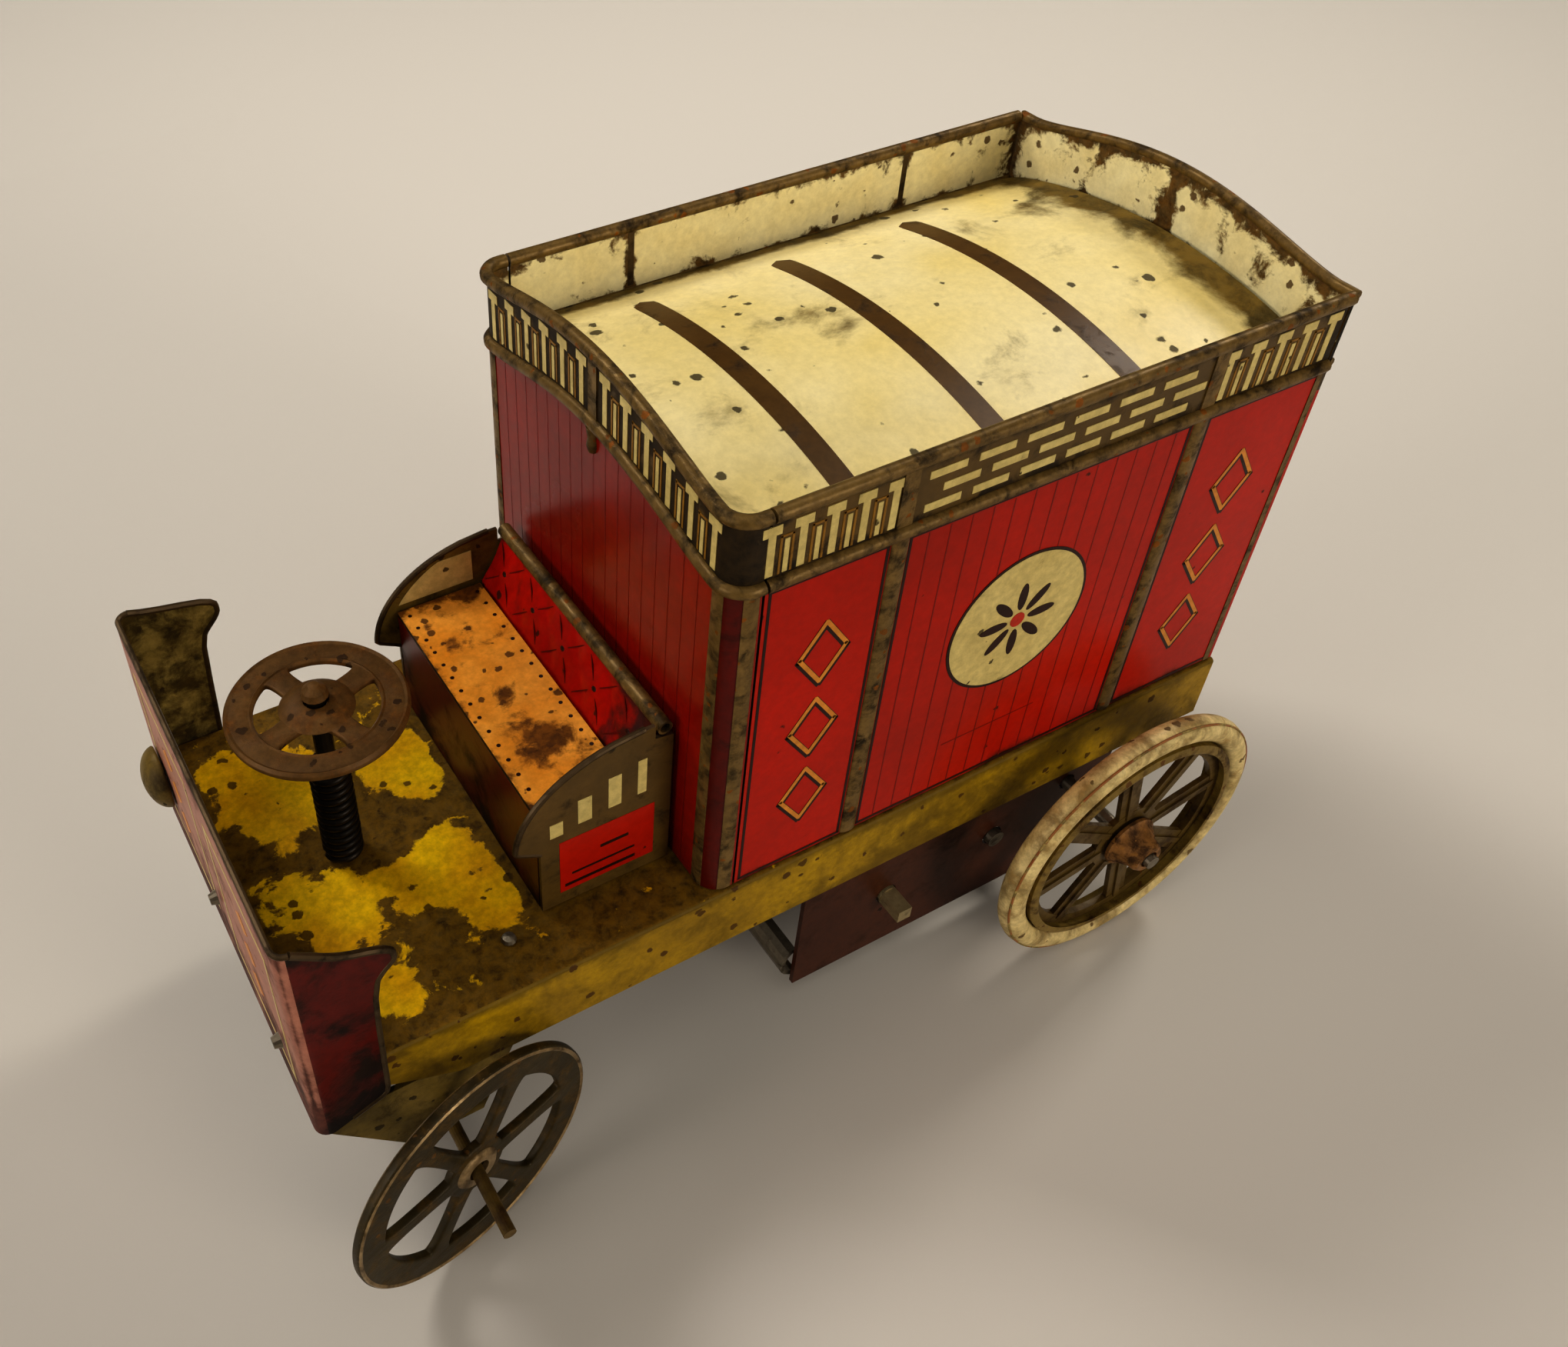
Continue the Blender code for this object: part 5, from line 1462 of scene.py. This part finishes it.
    def end_panels(self, side: int, label: str) -> None:
        """Three gold lozenges with a dark shadow on each plain end panel."""
        face = side * self.half
        for finish, drop, relief, width, tag in ((DARK_INK, 0.28, 0.07, 0.95, "shadow"),
                (GOLD_INK, 0.0, 0.10, 0.5, "gold")):
            marks = []
            for x in (-11.8, -68.8):
                for z in (11.5, 22.5, 33.5):
                    for up, across in ((1, 1), (1, -1), (-1, 1), (-1, -1)):
                        along = Vector((2.9 * across, 0.0, -4.2 * up))
                        middle = Vector((x + 1.45 * across, face, z + 2.1 * up - drop))
                        turn = facing((0, side, 0), tuple(along.normalized()))
                        marks.append(Mark(tuple(middle), turn, width, along.length + width * 0.6))
            repeat(f"end_panel_{tag}_{label}", VAN, marks, relief, finish)

    def side_gallery(self, side: int, label: str) -> None:
        """Balusters in the band's end sections and brickwork in its middle."""
        turn = facing((0, side, 0), (0, 0, 1))
        face = side * self.half
        cream, tan, dark = [], [], []
        for start, end in ((-76.4, self.rear_post - 1.6), (self.front_post + 1.6, -3.8)):
            self.balusters(start, end, lambda u, z: (u, face, z), turn, cream, tan)
        for row, z in enumerate((47.9, 49.9, 51.9)):
            x = self.rear_post + (3.6 if row % 2 else 5.6)
            while x < self.front_post - 3.4:
                cream.append(Mark((x, face, z), turn, 4.5, 0.95))
                x += 6.0
        for x in (self.front_post, self.rear_post):
            dark.append(Mark((x, face, 50.1), turn, 1.9, 6.8))
        repeat(f"gallery_cream_print_{label}", VAN, cream, 0.14, CREAM)
        repeat(f"gallery_tan_print_{label}", VAN, tan, 0.09, TAN_INK)
        repeat(f"gallery_posts_{label}", VAN, dark, 0.3, BRONZE)

    @staticmethod
    def balusters(start: float, end: float, spot: Callable[[float, float], Point], turn: Euler,
            cream: list[Mark], tan: list[Mark]) -> None:
        """Add tall T balusters with short ones between them.

        Args:
            start: the section's first end along the wall, mm.
            end: its other end.
            spot: gives the deck place for a distance along the wall and a height.
            turn: how a mark lies on the wall.
            cream: takes the cream marks.
            tan: takes the tan outlines.
        """
        count = max(2, round((end - start) / 3.9))
        pitch = (end - start) / count
        for step in range(count + 1):
            u = start + pitch * step
            cream.append(Mark(spot(u, 49.42), turn, 0.85, 4.85))
            cream.append(Mark(spot(u, 52.4), turn, 2.1, 1.1))
            if step < count:
                middle = u + pitch / 2
                cream.append(Mark(spot(middle, 49.0), turn, 0.55, 4.0))
                tan.append(Mark(spot(middle - 0.66, 49.2), turn, 0.26, 4.6))
                tan.append(Mark(spot(middle + 0.66, 49.2), turn, 0.26, 4.6))
                tan.append(Mark(spot(middle, 51.4), turn, 1.55, 0.26))

    def front_gallery(self) -> None:
        """Two baluster sections on the arched front band with a post between them, and the same behind."""
        for face, direction, tag in ((0.0, 1, "front"), (self.rear_wall, -1, "rear")):
            turn = facing((direction, 0, 0), (0, 0, 1))
            cream, tan = [], []
            for start, end in ((2.4, 22.6), (-22.6, -2.4)):
                self.balusters(start, end, lambda u, z: (face, u, z + self.arch(u)), turn, cream, tan)
            repeat(f"gallery_{tag}_cream", VAN, cream, 0.14, CREAM)
            repeat(f"gallery_{tag}_tan", VAN, tan, 0.09, TAN_INK)
            post = [Mark((face, 0.0, 50.1 + self.rise), turn, 1.7, 7.0)]
            repeat(f"gallery_{tag}_post", VAN, post, 0.3, BRONZE)

    def inside_posts(self) -> None:
        """Dark post lines on the gallery's cream inside."""
        for side, label in both_sides():
            turn = facing((0, -side, 0), (0, 0, 1))
            face = side * (self.half - SHEET)
            marks = [Mark((x, face, 50.4), turn, 0.8, 7.2) for x in (self.front_post, self.rear_post)]
            repeat(f"gallery_inner_posts_{label}", VAN, marks, 0.08, BARE_EDGE)


@dataclass
class Roof:
    """Arched roof sheet inside the gallery, with three dark strips across it."""

    half: float = 25.3
    edge: float = 46.5
    rise: float = 4.2
    front: float = -0.8
    rear: float = -77.7
    corner: float = 3.0
    strips: tuple[float, ...] = (-17.2, -36.2, -55.2)

    def height(self, y: float) -> float:
        """Top of the roof at a distance from the middle line."""
        return self.edge + self.rise * (1 - (y / self.half) ** 2)

    def ends(self, y: float) -> Flat:
        """Where the sheet starts and ends at a distance from the middle line, round its corners."""
        past = max(0.0, abs(y) - (self.half - self.corner))
        inset = self.corner - sqrt(max(0.0, self.corner ** 2 - past ** 2))
        return self.rear + inset, self.front - inset

    def build(self) -> None:
        """Make the sheet."""
        rows = []
        steps = 60
        for step in range(steps + 1):
            y = -self.half + 2 * self.half * step / steps
            start, end = self.ends(y)
            rows.append([(start + (end - start) * along / 80, y, self.height(y)) for along in range(81)])
        sheet = tin_sheet("roof_sheet", rows, [ROOF, BARE_EDGE, BARE_EDGE], (0, 0, 1))
        paint_age(sheet, self.age)
        place_piece(sheet, VAN, "roof_panel")

    def age(self, x: float, y: float, z: float) -> float:
        """Dirt gathers along the gallery; the middle has stayed pale."""
        side = 0.75 * max(0.0, 1 - (self.half - abs(y)) / (3.4 if y < 0 else 1.6))
        back = 0.75 * max(0.0, 1 - (x - self.rear) / 6.5)
        front = 0.55 * max(0.0, 1 - (self.front - x) / 2.2)
        patches = Blob(-31.5, -4.5, 5.5, 0.22).at(x, y) + Blob(-30, 1.5, 4, 0.16).at(x, y)
        patches += Blob(-12.0, 4.0, 5, 0.12).at(x, y) + Blob(-70, -12, 4, 0.2).at(x, y)
        return max(side, back, front) + patches - 0.06

    def dress(self) -> None:
        """Lay the three strips, round at their far ends, a hair above the sheet."""
        for index, x in enumerate(self.strips):
            bm = bmesh.new()
            half = 1.45
            steps = 50
            rows = []
            for step in range(steps + 1):
                y = -19.6 + (self.half - 0.2 + 19.6) * step / steps
                past = max(0.0, (-19.6 + half) - y)
                wide = sqrt(max(0.0004, half * half - past * past))
                rows.append([(x + wide, y), (x - wide, y)])
            lower = [[bm.verts.new((px, py, self.height(py) - 0.1)) for px, py in row] for row in rows]
            upper = [[bm.verts.new((px, py, self.height(py) + 0.06)) for px, py in row] for row in rows]
            for step in range(steps):
                bm.faces.new((upper[step][0], upper[step][1], upper[step + 1][1], upper[step + 1][0]))
                bm.faces.new((lower[step][1], lower[step][0], lower[step + 1][0], lower[step + 1][1]))
                for end in (0, 1):
                    bm.faces.new((upper[step][end], upper[step + 1][end], lower[step + 1][end],
                        lower[step][end]))
            for step in (0, steps):
                bm.faces.new((upper[step][0], upper[step][1], lower[step][1], lower[step][0]))
            place_piece(from_bmesh(f"roof_strip_{index + 1}", bm, ROOF_STRIP, 50), VAN)


@dataclass
class RearDoors:
    """Two doors that meet in the middle, each on a knuckle and pin."""

    low: float = 1.5
    head: float = 42.4
    face: float = -79.1

    def build(self) -> None:
        """Make each leaf with its knuckle; the pins are turned in CAD."""
        for side, label in both_sides():
            bm = bmesh.new()
            edges = sorted((side * (HINGE[1] - 0.55), side * 0.15))
            slab(bm, [(edges[0], self.low), (edges[1], self.low), (edges[1], self.head),
                (edges[0], self.head)], "x", self.face - SHEET, self.face)
            place = Matrix.Translation(Vector((HINGE[0], side * HINGE[1], 0.0)))
            turned(bm, [(0.7, self.low), (1.15, self.low), (1.15, self.head), (0.7, self.head),
                (0.7, self.low)], place, 24)
            leaf = from_bmesh(f"door_leaf_{label}", bm, RED)
            leaf.data.materials.append(BARE_EDGE.build())
            for face in leaf.data.polygons:
                if face.normal.x > 0.9 and face.area > 1e-5:
                    face.material_index = 1
            place_piece(leaf, f"{label}_door", f"door_{label}")
            dress(f"door_pin_{label}", STEEL)

    def dress(self) -> None:
        """Print boards and a frame on each leaf and give each a small pull."""
        turn = facing((-1, 0, 0), (0, 0, 1))
        for side, label in both_sides():
            face = self.face - SHEET
            middle = side * 10.3
            lines = [Mark((face, side * (3.6 + 2.75 * step), 22.0), turn, 0.16, 38.0) for step in range(6)]
            repeat(f"door_board_lines_{label}", f"{label}_door", lines, 0.05, BOARD_INK)
            frame_marks = [Mark((face, side * 0.75, 22.0), turn, 0.9, 40.6),
                Mark((face, side * 19.6, 22.0), turn, 0.9, 40.6),
                Mark((face, middle, 2.1), turn, 19.6, 0.9), Mark((face, middle, 41.8), turn, 19.6, 0.9)]
            repeat(f"door_frame_{label}", f"{label}_door", frame_marks, 0.14, BRONZE)
            pull = [Mark((face - 0.2, side * 2.3, 22.0), turn, 1.3, 1.3)]
            repeat(f"door_pull_{label}", f"{label}_door", pull, 1.2, BRASS, Stamp.DOME)


# ---------------------------------------------------------------- running gear

@dataclass
class RearWheels:
    """Axle set: cream rolled tyres on stamped wheels with turned copper hubs."""

    x: float = -60.9
    z: float = -17.0
    radius: float = 20.2
    tyre: float = 1.75
    half_track: float = 34.4
    spokes: int = 8

    def place(self, side: int) -> Matrix:
        """From a wheel's own axis, outwards along +Z, to the deck."""
        shift = Matrix.Translation(Vector((self.x, side * self.half_track, self.z)))
        return shift @ Matrix.Rotation(-side * pi / 2, 4, "X")

    def build(self) -> None:
        """Make both wheels."""
        middle = self.radius - self.tyre
        rim = middle - self.tyre - 0.3
        for side, label in both_sides():
            place = self.place(side)
            bm = bmesh.new()
            ring = [(middle + self.tyre * cos(radians(a)), self.tyre * sin(radians(a))) for a in range(0,
                360, 20)]
            turned(bm, ring + ring[:1], place, 96)
            place_piece(from_bmesh(f"tyre_{label}", bm, TYRE, 80), "rear_wheels", f"rear_tyre_{label}")
            bm = bmesh.new()
            lip = [(rim - 0.9, -1.7), (rim - 0.5, -1.8), (rim + 0.3, -1.5), (rim + 0.3, 1.5),
                (rim - 0.5, 1.8), (rim - 0.9, 1.7), (rim - 0.6, 1.3), (rim - 0.5, 0.0), (rim - 0.6, -1.3)]
            turned(bm, lip + lip[:1], place, 96)
            place_piece(from_bmesh(f"wheel_felloe_{label}", bm, RIM_TIN, 40), "rear_wheels")
            bm = bmesh.new()
            turn_line = radians(38)
            crown = (middle + self.tyre * cos(turn_line), self.tyre * sin(turn_line))
            stripe = [(crown[0] + 0.16 * cos(a), crown[1] + 0.16 * sin(a)) for a in
                (step * pi / 3 for step in range(6))]
            turned(bm, stripe + stripe[:1], place, 96)
            place_piece(from_bmesh(f"tyre_line_{label}", bm, TYRE_LINE, 80), "rear_wheels")
            bm = bmesh.new()
            band = [(rim - 2.0, -0.45), (rim - 0.6, -0.5), (rim - 0.6, 0.5), (rim - 2.0, 0.45)]
            turned(bm, band + band[:1], place, 72)
            turned(bm, [(1.3, -0.45), (5.3, -0.4), (5.3, 0.4), (1.3, 0.45), (1.3, -0.45)], place, 40)
            place_piece(from_bmesh(f"wheel_rim_{label}", bm, WHEEL_TIN, 40), "rear_wheels",
                f"rear_wheel_{label}")
            bm = bmesh.new()
            hub = [(1.3, 0.8), (3.7, 0.8), (3.9, 0.95), (3.9, 1.35), (3.5, 1.6), (3.1, 2.3), (2.5, 3.3),
                (2.4, 4.2), (2.0, 4.7), (1.3, 4.7)]
            turned(bm, hub + hub[:1], place, 40)
            place_piece(from_bmesh(f"hub_{label}", bm, COPPER, 50), "rear_wheels", f"rear_hub_{label}")

    def dress(self) -> None:
        """Set the spokes and their stamped ribs, and give the bare parts their finishes."""
        for side, label in both_sides():
            place = self.place(side)
            blades, ribs = [], []
            for step in range(self.spokes):
                angle = 2 * pi * step / self.spokes + 0.2
                along = place.to_3x3() @ Vector((cos(angle), sin(angle), 0.0))
                outward = place.to_3x3() @ Vector((0.0, 0.0, 1.0))
                turn = facing(tuple(outward), tuple(along))
                centre = place.translation + along * 9.6
                blades.append(Mark(tuple(centre), turn, 3.1, 11.2))
                ribs.append(Mark(tuple(centre), turn, 0.9, 10.6))
            repeat(f"wheel_spokes_{label}", "rear_wheels", blades, 0.7, WHEEL_TIN)
            repeat(f"wheel_spoke_ribs_{label}", "rear_wheels", ribs, 1.3, WHEEL_TIN)
        dress("rear_axle", STEEL)
        dress("axle_pinion", BRASS)


@dataclass
class FrontWheel:
    """Flat stamped wheel, slack on its axle."""

    x: float = 33.5
    y: float = 32.0
    z: float = -20.5
    lean: float = 15.0
    radius: float = 16.7
    band: float = 3.8

    def build(self) -> None:
        """Stamp the disc with rolled edges and turn its short boss."""
        place = Matrix.Translation(Vector((self.x, self.y, self.z))) @ Matrix.Rotation(radians(self.lean),
            4, "Z")
        place = place @ Matrix.Rotation(-pi / 2, 4, "X")
        outline = arc((0, 0), self.radius, 0, 357, 119)
        bore = arc((0, 0), 1.4, 0, 345, 23)
        openings = windows(6, 4.1, self.radius - self.band, 2.0)
        disc = stamped("front_wheel_disc", outline, [bore, *openings], place, 1.18, 0.3, FRONT_TIN)
        place_piece(disc, "front_wheel", "front_wheel_left")
        bm = bmesh.new()
        for turn_side in (1, -1):
            ring = [(self.radius - 0.9, turn_side * 0.45), (self.radius - 0.35, turn_side * 0.75),
                (self.radius - 0.02, turn_side * 0.4), (self.radius - 0.4, 0.0)]
            turned(bm, ring + ring[:1], place, 96)
        boss = [(1.4, -0.98), (2.5, -0.98), (3.0, -0.5), (3.0, 0.5), (2.5, 0.98), (1.4, 0.98)]
        turned(bm, boss + boss[:1], place, 32)
        place_piece(from_bmesh("front_wheel_edge_and_boss", bm, FRONT_EDGE, 50), "front_wheel")


@dataclass
class Steering:
    """Column with its coil spring, dished handwheel, cap and the yoke that holds the front axle."""

    x: float = 33.5
    coil: float = 2.05
    wire: float = 0.42
    turns: float = 13.0
    coil_top: float = 16.2
    wheel: float = 9.9
    band: float = 3.1
    height: float = 24.6

    def build(self) -> None:
        """Make the handwheel, its dished middle and the spring."""
        place = Matrix.Translation(Vector((self.x, 0.0, self.height)))
        openings = windows(4, 3.5, self.wheel - self.band, 2.7, 0.35)
        disc = stamped("handwheel_disc", arc((0, 0), self.wheel, 0, 356, 89),
            [arc((0, 0), 1.4, 0, 345, 23), *openings], place, 0.8, 0.25, RUST_TIN)
        place_piece(disc, "steering", "steering_wheel")
        bm = bmesh.new()
        dish = [(1.4, 1.35), (2.2, 1.35), (3.0, 1.05), (3.8, 0.6), (4.1, 0.3), (3.8, 0.0), (2.9, 0.5),
            (2.1, 0.95), (1.4, 0.95)]
        turned(bm, dish + dish[:1], place, 48)
        lip = [(self.wheel - 0.75, 0.3), (self.wheel - 0.3, 0.62), (self.wheel - 0.05, 0.3),
            (self.wheel - 0.3, 0.1)]
        turned(bm, lip + lip[:1], place, 72)
        inner_lip = [(self.wheel - self.band, 0.3), (self.wheel - self.band + 0.25, 0.55),
            (self.wheel - self.band + 0.6, 0.3), (self.wheel - self.band + 0.3, 0.1)]
        turned(bm, inner_lip + inner_lip[:1], place, 72)
        place_piece(from_bmesh("handwheel_dish", bm, RUST_TIN, 60), "steering")
        bm = bmesh.new()
        steps = int(self.turns * 24)
        path = []
        for step in range(steps + 1):
            angle = 2 * pi * self.turns * step / steps
            z = 0.5 + self.wire + (self.coil_top - 1.0 - self.wire) * step / steps
            path.append((self.x + (self.coil - 0.1) * cos(angle), (self.coil - 0.1) * sin(angle), z))
        tube(bm, path, 0.46, 8)
        place_piece(from_bmesh("column_coil", bm, SPRING_STEEL, 80), "steering", "column_spring")

    def dress(self) -> None:
        """Give the column, cap, yoke and axle their finishes."""
        dress("steering_column", SPRING_STEEL)
        dress("column_cap", RUST_TIN)
        dress("front_yoke", OLIVE_TIN)
        dress("front_axle", WHEEL_TIN)


@dataclass
class Clockwork:
    """Motor frame, gear train and mainspring."""

    def dress(self) -> None:
        """Give the motor's parts their finishes."""
        for node in ("motor_plate_left", "motor_plate_right"):
            dress(node, MAROON)
        for node in ("motor_brace_front", "motor_brace_rear", "idler_shaft", "mainspring"):
            dress(node, STEEL)
        dress("drive_arbor", ARBOR)
        for node in ("drive_gear", "idler_gear"):
            dress(node, BRASS)


# ---------------------------------------------------------------- studio

@dataclass
class Studio:
    """Pale floor, soft lights and the camera."""

    ground: str = "c4beb4"
    reach: float = 3.0
    lens_mm: float = 33.05
    shift: Flat = (0.1404, -0.0413)
    look: Point = (-0.341357, -0.649169, -0.679746)
    roll: float = -1.15
    stand: Point = (59.05, 105.04, 135.4)

    def floor(self) -> None:
        """Lay the plain floor."""
        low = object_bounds()[0][2]
        bm = bmesh.new()
        bmesh.ops.create_grid(bm, x_segments=2, y_segments=2, size=self.reach * 2)
        for vertex in bm.verts:
            vertex.co.z = low
        mesh = bpy.data.meshes.new("studio_floor")
        bm.to_mesh(mesh)
        bm.free()
        material = bpy.data.materials.new("studio_floor_paper")
        material.use_nodes = True
        shader = material.node_tree.nodes["Principled BSDF"]
        shader.inputs["Base Color"].default_value = linear(self.ground)
        shader.inputs["Roughness"].default_value = 0.85
        mesh.materials.append(material)
        made = bpy.data.objects.new("studio_floor", mesh)
        bpy.context.collection.objects.link(made)
        made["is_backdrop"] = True

    @staticmethod
    def lamp(name: str, place: Point, aim: Point, size: float, power: float, tint: str,
            spread: float) -> None:
        """Hang one soft square light.

        Args:
            name: the light's name.
            place: where it hangs, metres.
            aim: what it points at, metres.
            size: its edge, metres.
            power: watts.
            tint: its colour as sRGB hex.
            spread: how wide the light opens, degrees.
        """
        light = bpy.data.lights.new(name, "AREA")
        light.spread = radians(spread)
        light.size = size
        light.energy = power
        light.color = linear(tint)[:3]
        made = bpy.data.objects.new(name, light)
        made.location = place
        made.rotation_euler = (Vector(aim) - Vector(place)).to_track_quat("-Z", "Y").to_euler()
        made.visible_camera = False
        bpy.context.collection.objects.link(made)

    def light(self) -> None:
        """Hang two lights above and behind, and two low weak ones for the side and the front."""
        self.lamp("main_light", (0.50, -0.98, 1.20), (-0.11, -0.22, 0.0), 0.55, 0.84, "fffaf4", 36.0)
        self.lamp("rear_light", (-1.15, -0.35, 1.00), (-0.16, -0.14, 0.0), 0.30, 0.46, "fff9f0", 42.0)
        self.lamp("side_light", (-0.45, 1.30, 0.40), (-0.02, 0.0, 0.05), 0.60, 1.45, "fff6ea", 70.0)
        self.lamp("front_light", (1.30, 0.10, 0.42), (0.02, 0.0, 0.05), 0.60, 1.1, "fff8f2", 70.0)
        sky = bpy.data.lights.new("ceiling_light", "SUN")
        sky.energy = 0.55
        sky.angle = radians(60)
        sky.color = linear("fffaf2")[:3]
        made = bpy.data.objects.new("ceiling_light", sky)
        made.rotation_euler = (radians(-12), radians(8), 0.0)
        bpy.context.collection.objects.link(made)
        world = bpy.data.worlds.new("studio_air")
        world.use_nodes = True
        tree = world.node_tree
        tree.nodes.clear()
        dim = add(tree, "ShaderNodeBackground", {"Color": linear("b8aea2"), "Strength": 0.10}).outputs[0]
        backdrop = add(tree, "ShaderNodeBackground", {"Color": linear("b4aa9c"), "Strength": 1.0}).outputs[0]
        seen = add(tree, "ShaderNodeLightPath").outputs["Is Camera Ray"]
        air = add(tree, "ShaderNodeMixShader", {0: seen, 1: dim, 2: backdrop}).outputs[0]
        add(tree, "ShaderNodeOutputWorld", {0: air})
        bpy.context.scene.world = world
        bpy.context.scene.view_settings.view_transform = "Standard"
        bpy.context.scene.view_settings.look = "Medium High Contrast"

    def camera(self) -> None:
        """Stand the camera ahead of the van's left front corner, looking down on it."""
        data = bpy.data.cameras.new("studio_camera")
        data.sensor_width = 36.0
        data.lens = self.lens_mm
        data.shift_x, data.shift_y = self.shift
        data.clip_start = 0.001
        made = bpy.data.objects.new("studio_camera", data)
        look = Vector(self.look).normalized()
        level = look.cross(Vector((0, 0, 1))).normalized()
        rise = level.cross(look)
        roll = radians(self.roll)
        right = level * cos(roll) + rise * sin(roll)
        up = right.cross(look)
        turn = Matrix((right, up, -look)).transposed().to_4x4()
        made.matrix_world = Matrix.Translation(at(*self.stand)) @ turn
        bpy.context.collection.objects.link(made)
        bpy.context.scene.camera = made

    def build(self) -> None:
        """Set up the whole studio."""
        self.floor()
        self.light()
        self.camera()


def main() -> None:
    """Build and dress each sub-assembly in turn, then set up the studio."""
    logging.basicConfig(level=logging.INFO, format="%(name)s: %(message)s")
    Studio().build()
    for part in (Chassis(), Dashboard(), Seat(), BoxBody(), Roof(), RearDoors(), RearWheels(), FrontWheel(),
            Steering(), Clockwork()):
        for stage in ("build", "dress"):
            step = getattr(part, stage, None)
            if step is not None:
                step()
        LOG.info("%s done", type(part).__name__)


if __name__ == "__main__":
    main()
